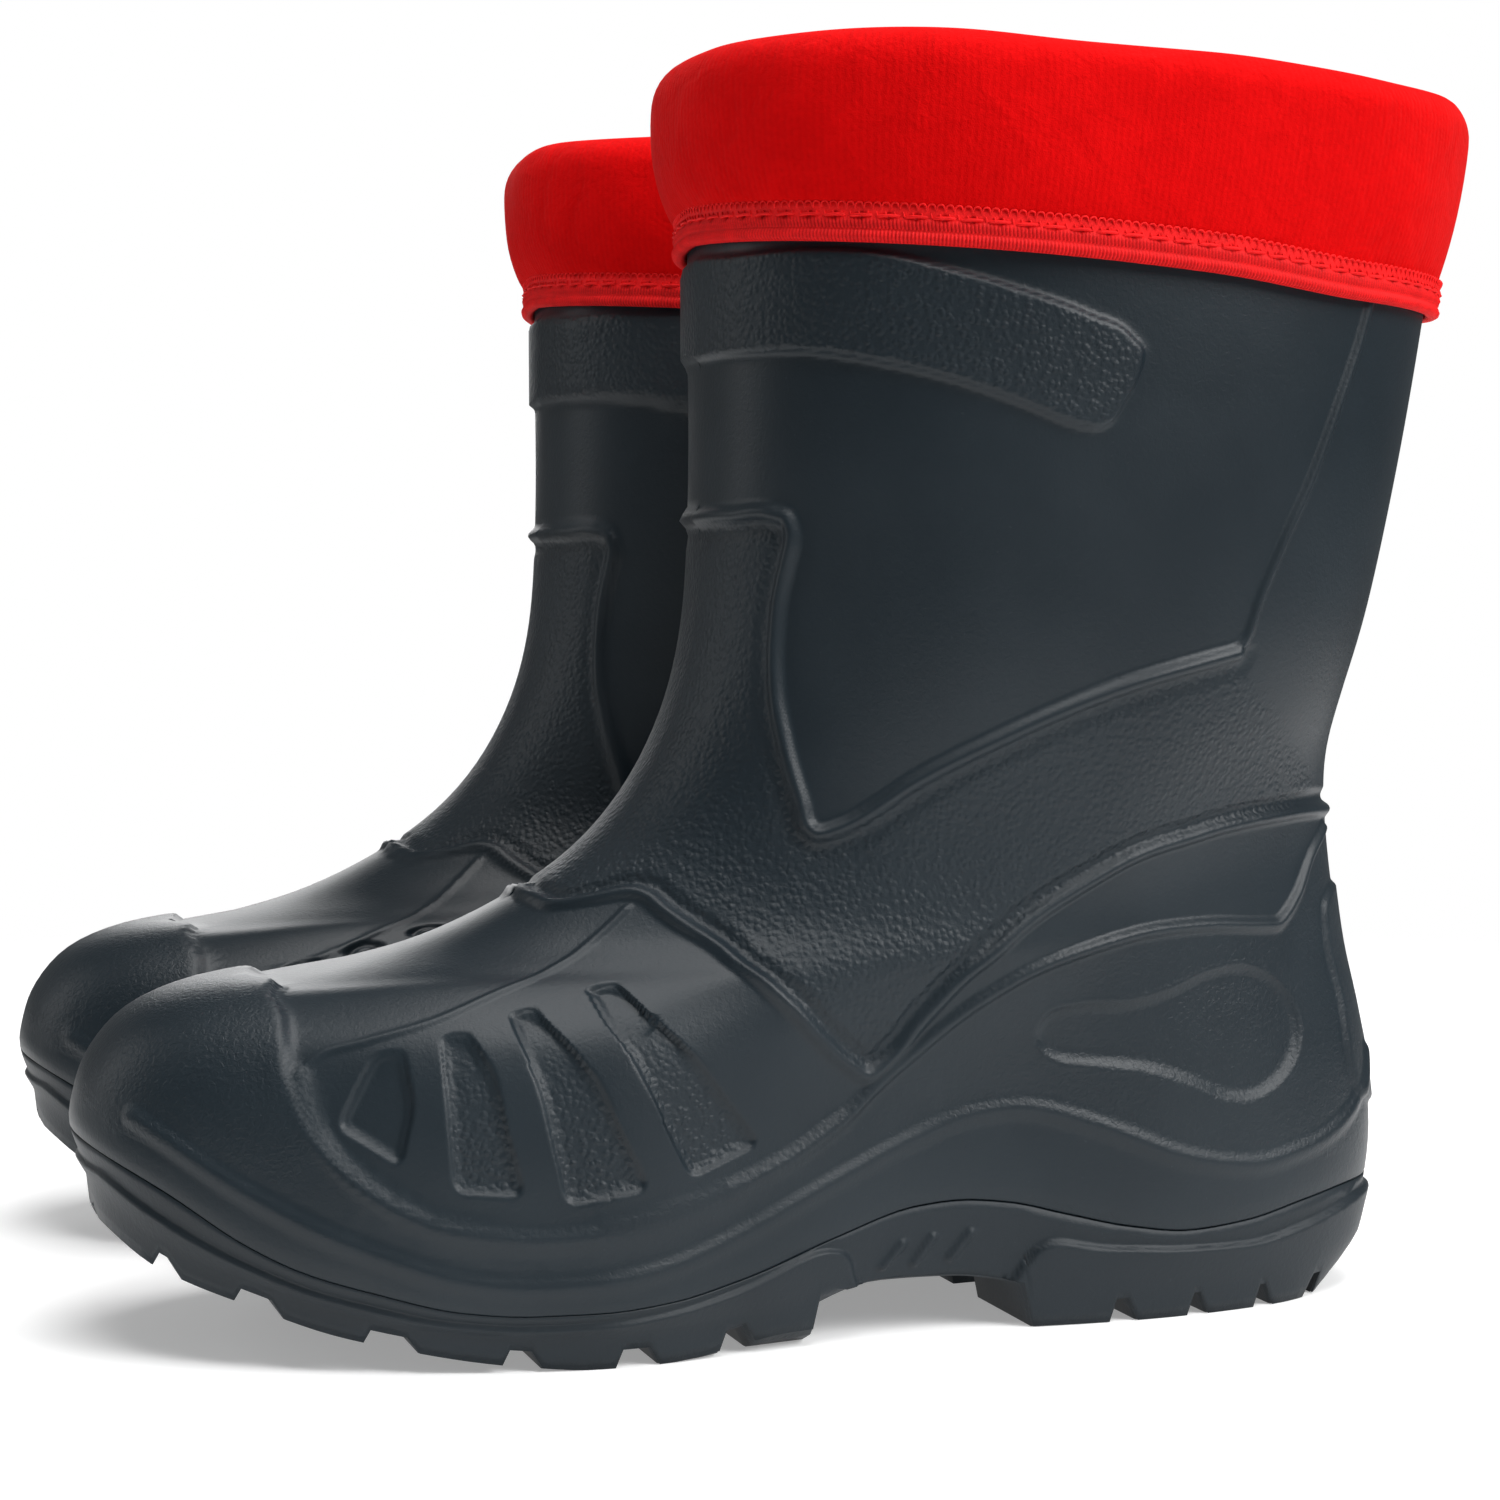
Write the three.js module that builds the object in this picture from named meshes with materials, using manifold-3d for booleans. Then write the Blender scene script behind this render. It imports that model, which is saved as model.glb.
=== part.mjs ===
// A pair of child's moulded foam rain boots with removable fleece liners turned down over the
// rims. Millimetres, +Z up, toes towards -X, the left boot on the -Y side, soles on Z = 0.
//
// Each boot is drawn in its own coordinates: s runs forward from the back of the heel, t runs
// across (negative towards the outer side of the foot) and z runs up from the floor. Its skin
// is a stack of closed loops, level 0 round the bottom of the sole and level 1 round the rim.
// A loop leans with the foot: its front lies on the toe, the instep or the shin.
import * as THREE from 'three';
import { mergeVertices } from 'three/addons/utils/BufferGeometryUtils.js';
import Module from 'manifold-3d';

const wasm = await Module();
wasm.setup();

// ---- driving dimensions -------------------------------------------------------------------
const PAIR_SPACING = 108;          // between the two boots' centre planes
const COLUMNS = 28;                // points round every loop
const GAP = 0.35;                  // between pieces that touch
const WALL = 4;                    // thickness of the moulded shaft and vamp
const LINER = 2.5;                 // thickness of the fleece
const LEG_CLEARANCE = 1.2;         // between shaft and liner
const TOE_SHIFT = 6;               // how far the toe leans to the inner side of the foot
const ARCH_TUCK = 0.06;            // how much the waist is cut in on the inner side
const SOLE_CORE = 5;               // outsole above its lugs, and the shell's own floor
const PARTING = 0.07;              // level of the line between outsole and upper
const LEG_START = 0.82;            // level where the liner's foot ends and its leg begins
const HEM_LEVEL = 0.945;           // level of the hem's lower edge
const HEM_HEIGHT = 5.6;
const CUFF_RISE = 7;               // how far the fold stands above the rim
const CUFF_PROUD = 5.2;            // how far the folded cuff stands outside the shaft

// Control loops: level, front [s, z], rear [s, z], half width, fullness of the oval.
const LOOPS = [
  { v: 0.00, front: [219.0, 26.0], rear: [6.5, 9.0], half: 40.0, full: 2.6 },
  { v: 0.07, front: [222.2, 33.0], rear: [4.0, 18.6], half: 42.5, full: 2.6 },
  { v: 0.13, front: [222.0, 38.0], rear: [3.2, 27.0], half: 42.5, full: 2.6 },
  { v: 0.20, front: [219.6, 45.0], rear: [4.0, 37.0], half: 41.5, full: 2.55 },
  { v: 0.27, front: [213.5, 51.8], rear: [5.6, 47.0], half: 39.3, full: 2.45 },
  { v: 0.34, front: [203.0, 56.0], rear: [7.5, 56.5], half: 37.0, full: 2.3 },
  { v: 0.42, front: [188.0, 57.2], rear: [8.8, 66.0], half: 35.6, full: 2.2 },
  { v: 0.50, front: [168.0, 61.5], rear: [9.8, 75.0], half: 35.0, full: 2.1 },
  { v: 0.57, front: [150.0, 70.3], rear: [10.8, 84.0], half: 35.6, full: 2.1 },
  { v: 0.64, front: [137.5, 80.5], rear: [10.9, 92.0], half: 37.0, full: 2.15 },
  { v: 0.71, front: [128.5, 94.0], rear: [9.3, 101.0], half: 39.2, full: 2.2 },
  { v: 0.78, front: [123.3, 110.0], rear: [6.0, 114.0], half: 41.3, full: 2.25 },
  { v: 0.86, front: [121.4, 135.0], rear: [1.5, 136.0], half: 43.5, full: 2.3 },
  { v: 0.93, front: [121.4, 160.0], rear: [-2.6, 158.5], half: 45.0, full: 2.3 },
  { v: 1.00, front: [121.4, 196.5], rear: [-8.0, 192.5], half: 46.5, full: 2.3 },
];
// Height of the line between outsole and upper, along the foot: [s, z].
const PARTING_LINE = [
  [4, 18.6], [14, 18.2], [25, 16.8], [37, 14.7], [48, 14], [59, 15.4], [70, 18], [80, 20.4],
  [88, 21.1], [95, 20.6], [109, 16.9], [126, 11.6], [137, 9.4], [149, 8.6], [159, 8.6],
  [169, 9.4], [182, 12.5], [192, 15.5], [200, 19.4], [211, 26.8], [222, 33],
];
// Height of the underside between the lugs, and of the tread itself.
const UNDERSIDE = [
  [4, 9.5], [8, 7], [14, 5.2], [40, 5], [66, 5.2], [78, 7.5], [88, 9], [100, 9.2], [110, 8],
  [122, 5.5], [150, 5], [170, 6.5], [187, 10], [200, 14.5], [207, 17], [213, 20.5], [219, 26],
];
const TREAD = [
  [6, 2], [14, 0], [150, 0], [157, 0.6], [165, 1.6], [177, 3.8], [187, 6], [200, 10.5],
  [207, 13.5], [213, 17],
];
// Lugs along the foot: [rear s, front s, share of the half width where the inner side starts].
const LUGS = [
  [9, 17, 0.12], [22, 31, 0.1], [35, 44, 0.1], [48, 57, 0.1], [62, 75, 0.1],
  [113, 123, 0.1], [129, 139, 0.1], [146, 157, 0.1], [163, 175, 0.1], [183, 194, 0.1],
  [201, 209, 0.12],
];
const LUG_INSET = 1.6;             // from the sole's edge to a lug's outer face
const LUG_ROOT = 1.5;              // how far a lug's root reaches into the sole
// Width along a loop, as a share of the oval, from its rear (0) to its front (1).
const FOOT_SHAPE = [
  [0, 0.86], [0.2, 0.83], [0.4, 0.745], [0.55, 0.86], [0.67, 1], [0.8, 1.03], [1, 1],
];
const INSTEP_SHAPE = [[0, 0.9], [0.2, 0.93], [0.4, 1], [0.6, 0.95], [0.8, 0.88], [1, 0.84]];
// How much of each shape a level takes, and of the sole's wave.
const FOOT_SHARE = [[0, 1], [0.16, 1], [0.42, 0], [1, 0]];
const INSTEP_SHARE = [[0, 0], [0.16, 0], [0.42, 1], [0.55, 1], [0.8, 0], [1, 0]];
const WAVE_SHARE = [[0, 1], [0.07, 1], [0.26, 0], [1, 0]];

const NAVY = '#2b333b';
const SOLE_NAVY = '#272e35';
const RED = '#d81414';
const DARK_RED = '#b81014';

// ---- curves through points ----------------------------------------------------------------
/** A cubic curve y(x) through [x, y] points; a monotone one doesn't overshoot between them. */
function curve(points, monotone = true) {
  const xs = points.map((p) => p[0]);
  const ys = points.map((p) => p[1]);
  const last = xs.length - 1;
  const steps = xs.slice(1).map((x, i) => x - xs[i]);
  const rates = steps.map((h, i) => (ys[i + 1] - ys[i]) / h);
  const slopes = xs.map((_, i) => {
    if (i === 0) return rates[0];
    if (i === last) return rates[last - 1];
    const before = rates[i - 1];
    const after = rates[i];
    const [h0, h1] = [steps[i - 1], steps[i]];
    if (!monotone) return (before * h1 + after * h0) / (h0 + h1);
    if (before * after <= 0) return 0;
    const [w0, w1] = [2 * h1 + h0, h1 + 2 * h0];
    return (w0 + w1) / (w0 / before + w1 / after);
  });
  return (at) => {
    const x = Math.min(Math.max(at, xs[0]), xs[last]);
    let i = 0;
    while (i < last - 1 && x > xs[i + 1]) i += 1;
    const h = steps[i];
    const f = (x - xs[i]) / h;
    const g = 1 - f;
    return ys[i] * (1 + 2 * f) * g * g + slopes[i] * h * f * g * g
      + ys[i + 1] * f * f * (3 - 2 * f) - slopes[i + 1] * h * f * f * g;
  };
}

const along = (pick) => curve(LOOPS.map((loop) => [loop.v, pick(loop)]), false);
const frontS = along((loop) => loop.front[0]);
const frontZ = along((loop) => loop.front[1]);
const rearS = along((loop) => loop.rear[0]);
const rearZ = along((loop) => loop.rear[1]);
const halfWidth = along((loop) => loop.half);
const fullness = along((loop) => loop.full);
const partingZ = curve(PARTING_LINE);
const undersideZ = curve(UNDERSIDE);
const treadZ = curve(TREAD);
const footShape = curve(FOOT_SHAPE);
const instepShape = curve(INSTEP_SHAPE);
const footShare = curve(FOOT_SHARE);
const instepShare = curve(INSTEP_SHARE);
const waveShare = curve(WAVE_SHARE);

const mix = (a, b, f) => a + (b - a) * f;
const smoothStep = (f) => THREE.MathUtils.smoothstep(f, 0, 1);

// ---- the boot's skin ----------------------------------------------------------------------
/** Height of a loop where it is a share x of its way from rear to front, at the place s. */
function loopHeight(v, s, x) {
  if (v <= PARTING) return mix(undersideZ(s), partingZ(s), v / PARTING);
  const straight = mix(rearZ(PARTING), frontZ(PARTING), x);
  const wave = partingZ(mix(rearS(PARTING), frontS(PARTING), x)) - straight;
  return mix(rearZ(v), frontZ(v), x) + wave * waveShare(v);
}

/** One side of a loop, from its front to its rear, as [s, t, z]; outer is -1 or 1. */
function halfLoop(v, outer, steps = 360) {
  const [near, far] = [rearS(v), frontS(v)];
  const [foot, instep] = [footShare(v), instepShare(v)];
  const power = 2 / fullness(v);
  const points = [];
  for (let i = 0; i <= steps; i += 1) {
    const angle = (Math.PI * i) / steps;
    const c = Math.cos(angle);
    const x = (Math.sign(c) * Math.abs(c) ** power + 1) / 2;
    const s = mix(near, far, x);
    const shape = foot * footShape(x) + instep * instepShape(x) + 1 - foot - instep;
    const tuck = outer < 0 ? 1 : 1 - ARCH_TUCK * foot * Math.exp(-(((x - 0.4) / 0.16) ** 2));
    const width = halfWidth(v) * Math.abs(Math.sin(angle)) ** power * shape * tuck;
    const shift = TOE_SHIFT * smoothStep((x - 0.5) / 0.5) * smoothStep((0.62 - v) / 0.3);
    points.push([s, outer * width + shift, loopHeight(v, s, x)]);
  }
  return points;
}

/** Points at even distances along a line of points, both ends included. */
function evenly(line, count) {
  const lengths = [0];
  for (let i = 1; i < line.length; i += 1) {
    lengths.push(lengths[i - 1] + Math.hypot(...line[i].map((c, k) => c - line[i - 1][k])));
  }
  const total = lengths[lengths.length - 1];
  const points = [];
  let at = 0;
  for (let i = 0; i < count; i += 1) {
    const wanted = (total * i) / (count - 1);
    while (at < line.length - 2 && lengths[at + 1] < wanted) at += 1;
    const share = (wanted - lengths[at]) / (lengths[at + 1] - lengths[at]);
    points.push(new THREE.Vector3(...line[at].map((c, k) => mix(c, line[at + 1][k], share))));
  }
  return points;
}

const loopCache = new Map();
/** The skin's loop at a level: column 0 at the front, then round by the outer side. */
function loop(v) {
  if (!loopCache.has(v)) {
    const outer = evenly(halfLoop(v, -1), COLUMNS / 2 + 1);
    const inner = evenly(halfLoop(v, 1), COLUMNS / 2 + 1);
    loopCache.set(v, [...outer, ...inner.slice(1, -1).reverse()]);
  }
  return loopCache.get(v);
}

/** The loop at a level, moved square to the skin by distance, outwards if positive. */
function offsetLoop(v, distance, lift = 0) {
  const step = 0.012;
  const ring = loop(v);
  const below = loop(Math.max(v - step, 0));
  const above = loop(Math.min(v + step, 1));
  return ring.map((point, i) => {
    const next = ring[(i + 1) % COLUMNS];
    const previous = ring[(i + COLUMNS - 1) % COLUMNS];
    const round = next.clone().sub(previous);
    const up = above[i].clone().sub(below[i]);
    const normal = up.cross(round).normalize();
    const moved = point.clone().addScaledVector(normal, distance);
    moved.z += lift;
    return moved;
  });
}

/** A loop drawn in towards its own middle line by inset, at the height that z(s) gives. */
function levelLoop(v, inset, z) {
  return offsetLoop(v, -inset).map((p) => new THREE.Vector3(p.x, p.y, z(p.x)));
}

// ---- solids -------------------------------------------------------------------------------
/** Triangles between two rings of equal count, whose points start at index a and b. */
function band(a, b) {
  const faces = [];
  for (let i = 0; i < COLUMNS; i += 1) {
    const j = (i + 1) % COLUMNS;
    faces.push([a + i, a + j, b + j], [a + i, b + j, b + i]);
  }
  return faces;
}

/** Triangles that close a ring by strips from its outer side to its inner side. */
function cap(a) {
  const faces = [];
  for (let i = 0; i < COLUMNS / 2; i += 1) {
    const [p, q] = [a + i, a + i + 1];
    const [r, t] = [a + ((COLUMNS - i) % COLUMNS), a + COLUMNS - i - 1];
    if (i > 0) faces.push([p, q, r]);
    if (q !== t) faces.push([q, t, r]);
  }
  return faces;
}

/** A closed geometry from points and triangles, turned so that its faces point out. */
function closedGeometry(points, faces) {
  let volume = 0;
  for (const [a, b, c] of faces) {
    volume += points[a].dot(points[b].clone().cross(points[c]));
  }
  const index = faces.flatMap(([a, b, c]) => (volume > 0 ? [a, b, c] : [a, c, b]));
  const geometry = new THREE.BufferGeometry();
  geometry.setAttribute('position', new THREE.Float32BufferAttribute(
    points.flatMap((p) => [p.x, p.y, p.z]), 3));
  geometry.setIndex(index);
  return geometry;
}

/** A solid through rings, its two ends closed by strips. */
function cappedSolid(rings) {
  const last = (rings.length - 1) * COLUMNS;
  const bottom = cap(0).map(([a, b, c]) => [a, c, b]);
  const sides = rings.slice(1).flatMap((_, i) => band(i * COLUMNS, (i + 1) * COLUMNS));
  return closedGeometry(rings.flat(), [...bottom, ...sides, ...cap(last)]);
}

/** A ring-shaped solid: its rings run round a closed section. */
function ringSolid(rings) {
  const count = rings.length;
  const faces = rings.flatMap((_, i) => band(i * COLUMNS, ((i + 1) % count) * COLUMNS));
  return closedGeometry(rings.flat(), faces);
}

/** A solid with six faces: four corners below and the four above them. */
function block(low, high) {
  const faces = [[0, 2, 1], [0, 3, 2], [4, 5, 6], [4, 6, 7]];
  for (let i = 0; i < 4; i += 1) {
    const j = (i + 1) % 4;
    faces.push([i, j, j + 4], [i, j + 4, i + 4]);
  }
  return closedGeometry([...low, ...high], faces);
}

function toManifold(geometry) {
  const plain = geometry.clone();
  plain.deleteAttribute('normal');
  plain.deleteAttribute('uv');
  const merged = mergeVertices(plain);
  return new wasm.Manifold(new wasm.Mesh({
    numProp: 3,
    vertProperties: new Float32Array(merged.attributes.position.array),
    triVerts: new Uint32Array(merged.index.array),
  }));
}

function fromManifold(manifold) {
  const mesh = manifold.getMesh();
  const geometry = new THREE.BufferGeometry();
  geometry.setAttribute('position', new THREE.BufferAttribute(mesh.vertProperties, 3));
  geometry.setIndex(new THREE.BufferAttribute(mesh.triVerts, 1));
  return geometry;
}

// ---- sub-parts, in one boot's coordinates ---------------------------------------------------
const coreTop = (s) => undersideZ(s) + SOLE_CORE;
const floorTop = (s) => coreTop(s) + SOLE_CORE;

/** Vamp, heel and shaft: a bag with a floor, open at the rim. */
function upperShell() {
  const skin = [0.1, 0.14, 0.2, 0.27, 0.34, 0.42, 0.5, 0.57, 0.64, 0.71, 0.78, 0.86, 0.93, 1];
  const lining = [0.99, 0.93, 0.86, 0.78, 0.71, 0.64, 0.57, 0.5, 0.42, 0.34, 0.27, 0.2];
  return cappedSolid([
    levelLoop(PARTING, 8, coreTop),
    offsetLoop(PARTING, 0, GAP),
    ...skin.map((v) => offsetLoop(v, 0)),
    offsetLoop(1, -WALL),
    ...lining.map((v) => offsetLoop(v, -WALL)),
    levelLoop(0.16, WALL + 1, (s) => floorTop(s) + 5),
    levelLoop(0.16, WALL + 3, floorTop),
  ]);
}

/** One lug between the places s0 and s1, on the side given by outer, from inner to the edge. */
function lug(s0, s1, share, outer) {
  const columns = loop(0);
  const edge = (s) => {
    const side = columns.filter((p, i) => (outer < 0) === (i <= COLUMNS / 2));
    side.sort((a, b) => a.x - b.x);
    const i = Math.max(1, side.findIndex((p) => p.x > s));
    const f = (s - side[i - 1].x) / (side[i].x - side[i - 1].x);
    return mix(side[i - 1].y, side[i].y, THREE.MathUtils.clamp(f, 0, 1));
  };
  const corner = (s, f, z) => {
    const [left, right] = [edge(s) - outer * LUG_INSET, TOE_SHIFT * smoothStep(s / 222 - 0.5)];
    return new THREE.Vector3(s, mix(right, left, f), z);
  };
  const ends = [[s0, share], [s1, share], [s1, 1], [s0, 1]];
  const middle = (s0 + s1) / 2;
  const slope = treadZ(s1) - treadZ(s0);
  const tread = (s) => treadZ(middle) + (slope * (s - middle)) / (s1 - s0);
  const low = ends.map(([s, f]) => corner(s, f, tread(s)));
  const high = ends.map(([s, f]) => corner(s, f, undersideZ(s) + LUG_ROOT));
  return block(low, high);
}

/** The sole unit: a cupped slab whose upper edge is the wavy parting line, and its lugs. */
function outsole() {
  const slab = cappedSolid([
    levelLoop(PARTING, 8, (s) => coreTop(s) - GAP),
    offsetLoop(PARTING, 0),
    offsetLoop(0.035, 0),
    offsetLoop(0, 0, 1),
    levelLoop(0, 2, undersideZ),
  ]);
  let solid = toManifold(slab);
  for (const [s0, s1, share] of LUGS) {
    for (const outer of [-1, 1]) solid = solid.add(toManifold(lug(s0, s1, share, outer)));
  }
  return fromManifold(solid);
}

/** The liner's sole: a felt pad on the shell's floor. */
function linerSole() {
  const inset = WALL + 4;
  return cappedSolid([
    levelLoop(0.16, inset, (s) => floorTop(s) + GAP),
    levelLoop(0.16, inset, (s) => floorTop(s) + GAP + LINER + 0.5),
  ]);
}

/** The liner's foot: toe, instep, ankle and heel of the sock, up to the leg. */
function linerFoot() {
  const levels = [0.27, 0.34, 0.42, 0.5, 0.57, 0.64, 0.71, 0.78];
  const out = WALL + LEG_CLEARANCE;
  const base = (s) => floorTop(s) + 2 * GAP + LINER + 0.5;
  const top = LEG_START - 0.004;
  return ringSolid([
    levelLoop(0.16, out + 2, base),
    levelLoop(0.2, out + 0.6, (s) => floorTop(s) + 10),
    ...levels.map((v) => offsetLoop(v, -out)),
    offsetLoop(top, -out),
    offsetLoop(top, -out - LINER),
    ...levels.toReversed().map((v) => offsetLoop(v, -out - LINER)),
    levelLoop(0.2, out + LINER + 0.6, (s) => floorTop(s) + 10),
    levelLoop(0.16, out + LINER + 2, base),
  ]);
}

/** The liner's leg: a plain tube in the shaft. */
function linerLeg() {
  const levels = [LEG_START, 0.86, 0.93, 0.985];
  const out = WALL + LEG_CLEARANCE;
  return ringSolid([
    ...levels.map((v) => offsetLoop(v, -out)),
    ...levels.toReversed().map((v) => offsetLoop(v, -out - LINER)),
  ]);
}

/** The hem's upper edge on the shaft: the level where the cuff proper starts. */
const SHAFT_RISE = frontZ(1) - frontZ(0.93);
const HEM_TOP = HEM_LEVEL + ((HEM_HEIGHT + GAP) * 0.07) / SHAFT_RISE;

/** Outer face of the folded cuff, from the hem up to the crest: [level, out, lift]. */
const CUFF_FACE = [
  [HEM_TOP, 2.6, 0],
  [0.968, 4.3, 0],
  [0.985, CUFF_PROUD, 0],
  [1, CUFF_PROUD, 1.5],
  [1, 3.6, 4.8],
  [1, 0.6, CUFF_RISE - 0.4],
  [1, -2.4, CUFF_RISE],
];

/** The cuff: the leg's top folded out over the rim and down the shaft. */
function linerCuff() {
  const inside = WALL + LEG_CLEARANCE;
  return ringSolid([
    ...CUFF_FACE.map(([v, out, lift]) => offsetLoop(v, out, lift)),
    offsetLoop(1, -inside, CUFF_RISE - 1.6),
    offsetLoop(1, -inside - LINER, 1.5),
    offsetLoop(0.988, -inside - LINER, 0.3),
    offsetLoop(0.988, -inside, 0.3),
    offsetLoop(1, -inside + 0.4, 1.2),
    offsetLoop(1, 0.8, 1.2),
    offsetLoop(HEM_TOP, 0.8, 0),
  ]);
}

/** The binding that is rolled round the cuff's free edge. */
function hemBinding() {
  const top = HEM_TOP - (GAP * 0.07) / SHAFT_RISE;
  return ringSolid([
    offsetLoop(HEM_LEVEL, 0.7, 0.8),
    offsetLoop(HEM_LEVEL, 1.6, 0),
    offsetLoop(HEM_LEVEL, 2.8, 0.9),
    offsetLoop(top, 2.6, 0),
    offsetLoop(top, 0.8, 0),
  ]);
}

/** The line of cover stitching that lies on the binding. */
function hemThread() {
  const level = mix(HEM_LEVEL, HEM_TOP, 0.72);
  return ringSolid([
    offsetLoop(level, 3.1, -0.3),
    offsetLoop(level, 3.6, 0),
    offsetLoop(level, 3.1, 0.3),
  ]);
}

/** The seam that closes the cuff at the back, proud of its outer face. */
function backSeam() {
  const rear = COLUMNS / 2;
  const width = 1.4;
  const faces = CUFF_FACE.slice(0, 5);
  const row = (extra) => faces.map(([v, out, lift]) => offsetLoop(v, out + extra, lift)[rear]);
  const [under, over] = [row(GAP), row(GAP + 0.8)];
  const points = under.flatMap((p, i) => [p, over[i]].flatMap((q) => [
    new THREE.Vector3(q.x, q.y - width, q.z), new THREE.Vector3(q.x, q.y + width, q.z)]));
  const faceList = [[0, 1, 3], [0, 3, 2]];
  for (let i = 0; i + 1 < faces.length; i += 1) {
    const [a, b] = [4 * i, 4 * (i + 1)];
    for (const [p, q] of [[0, 2], [2, 3], [3, 1], [1, 0]]) {
      faceList.push([a + p, a + q, b + q], [a + p, b + q, b + p]);
    }
  }
  const end = 4 * (faces.length - 1);
  faceList.push([end, end + 3, end + 1], [end, end + 2, end + 3]);
  return closedGeometry(points, faceList);
}

// ---- the pair -----------------------------------------------------------------------------
const MATERIALS = {
  foam: { color: NAVY, roughness: 0.5, metalness: 0 },
  sole: { color: SOLE_NAVY, roughness: 0.6, metalness: 0 },
  fleece: { color: RED, roughness: 0.95, metalness: 0 },
  felt: { color: DARK_RED, roughness: 1, metalness: 0 },
  thread: { color: RED, roughness: 0.7, metalness: 0 },
};

const SUB_PARTS = [
  ['upper_shell', upperShell, 'foam'],
  ['outsole', outsole, 'sole'],
  ['liner_sole', linerSole, 'felt'],
  ['liner_foot', linerFoot, 'fleece'],
  ['liner_leg', linerLeg, 'fleece'],
  ['liner_cuff', linerCuff, 'fleece'],
  ['hem_binding', hemBinding, 'thread'],
  ['hem_thread', hemThread, 'thread'],
  ['back_seam', backSeam, 'thread'],
];

/** Places a boot's geometry in the pair: side is -1 for the left boot and 1 for the right. */
function placed(geometry, side) {
  const array = geometry.attributes.position.array;
  const points = [];
  for (let i = 0; i < array.length; i += 3) {
    const across = side * (PAIR_SPACING / 2 - array[i + 1]);
    points.push(new THREE.Vector3(-array[i], across, array[i + 2]));
  }
  const index = geometry.index.array;
  const faces = [];
  for (let i = 0; i < index.length; i += 3) faces.push([index[i], index[i + 1], index[i + 2]]);
  return closedGeometry(points, faces);
}

const group = new THREE.Group();
for (const [name, build, material] of SUB_PARTS) {
  const geometry = build();
  for (const [prefix, side] of [['left', -1], ['right', 1]]) {
    const surface = new THREE.MeshStandardMaterial(MATERIALS[material]);
    const mesh = new THREE.Mesh(placed(geometry, side), surface);
    mesh.name = `${prefix}_${name}`;
    group.add(mesh);
  }
}
const box = new THREE.Box3().setFromObject(group);
group.position.x = -(box.min.x + box.max.x) / 2;
group.updateMatrixWorld(true);

export default group;
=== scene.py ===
"""A pair of child's moulded foam rain boots with fleece liners turned down over the rims.

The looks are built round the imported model. A boot's shapes are worked out in millimetres in its own
coordinates: s runs forward from the back of the heel, t runs across towards the inner side of the
foot, and z runs up. A place on its skin is (u, v): u is 0 at the front, 1 at the rear on the outer
side and -1 at the rear on the inner side, and v is the level, 0 round the bottom of the sole and
1 round the rim. Both boots come from the left one: the right one is its mirror image.
"""
import logging
import math
from dataclasses import dataclass, field
from enum import Enum
from typing import Any, Callable, Sequence

import bmesh
import bpy
import numpy as np
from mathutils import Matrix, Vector


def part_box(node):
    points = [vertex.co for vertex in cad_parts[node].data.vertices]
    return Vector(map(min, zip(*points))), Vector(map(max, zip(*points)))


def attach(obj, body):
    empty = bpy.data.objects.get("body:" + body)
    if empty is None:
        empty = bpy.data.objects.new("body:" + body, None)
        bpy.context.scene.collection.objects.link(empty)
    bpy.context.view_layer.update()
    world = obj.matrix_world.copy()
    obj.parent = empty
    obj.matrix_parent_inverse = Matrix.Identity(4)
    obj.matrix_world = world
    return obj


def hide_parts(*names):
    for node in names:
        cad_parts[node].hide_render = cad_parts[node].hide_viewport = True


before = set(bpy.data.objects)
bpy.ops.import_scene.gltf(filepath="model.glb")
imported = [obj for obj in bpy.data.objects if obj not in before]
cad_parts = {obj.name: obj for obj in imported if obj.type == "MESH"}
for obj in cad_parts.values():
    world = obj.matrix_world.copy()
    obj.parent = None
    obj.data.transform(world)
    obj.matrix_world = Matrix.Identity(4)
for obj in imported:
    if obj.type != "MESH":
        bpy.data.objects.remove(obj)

LOG = logging.getLogger("boots")
Array = np.ndarray
Points = Sequence[tuple[float, ...]]
Curve = Callable[[Array], Array]

MM = 0.001
LEFT, RIGHT = "left", "right"
OUTER, INNER = 1, -1

# ---- driving sizes, in millimetres, as in the part ----------------------------------------------
WALL = 4.0                 # thickness of the moulded shaft and vamp
LINER = 2.5                # thickness of the fleece
LEG_CLEARANCE = 1.2        # between shaft and liner
TOE_SHIFT = 6.0            # how far the toe leans to the inner side of the foot
ARCH_TUCK = 0.06           # how much the waist is cut in on the inner side
SOLE_CORE = 5.0            # outsole above its lugs, and the shell's own floor
GAP = 0.35                 # between pieces that touch
PARTING = 0.07             # level of the line between outsole and upper
LEG_START = 0.82           # level where the liner's foot ends and its leg begins
FOOT_LENGTH = 222          # from the back of the heel to the toe
HEM_HEIGHT = 5.8           # the binding, up the shaft
HEM_SCALE = 521            # millimetres up the hem to one unit of level, at the hem
HEM_LENGTH = 366.0         # round the hem
STITCH_PITCH = 4.3         # of the straight row of long stitches
RING_SCALE = (235, 215)    # millimetres to one unit of u and of v, at the round recesses
SIDE_LENGTH = 250.0        # about how long a half loop is, to scale u
SKIN_HEIGHT = 195.0        # about how tall the skin is, to scale v


@dataclass(frozen=True)
class ControlLoop:
    """One loop of the skin: its front and rear, its half width and how full its oval is."""

    level: float
    front: tuple[float, float]
    rear: tuple[float, float]
    half: float
    full: float


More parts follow.
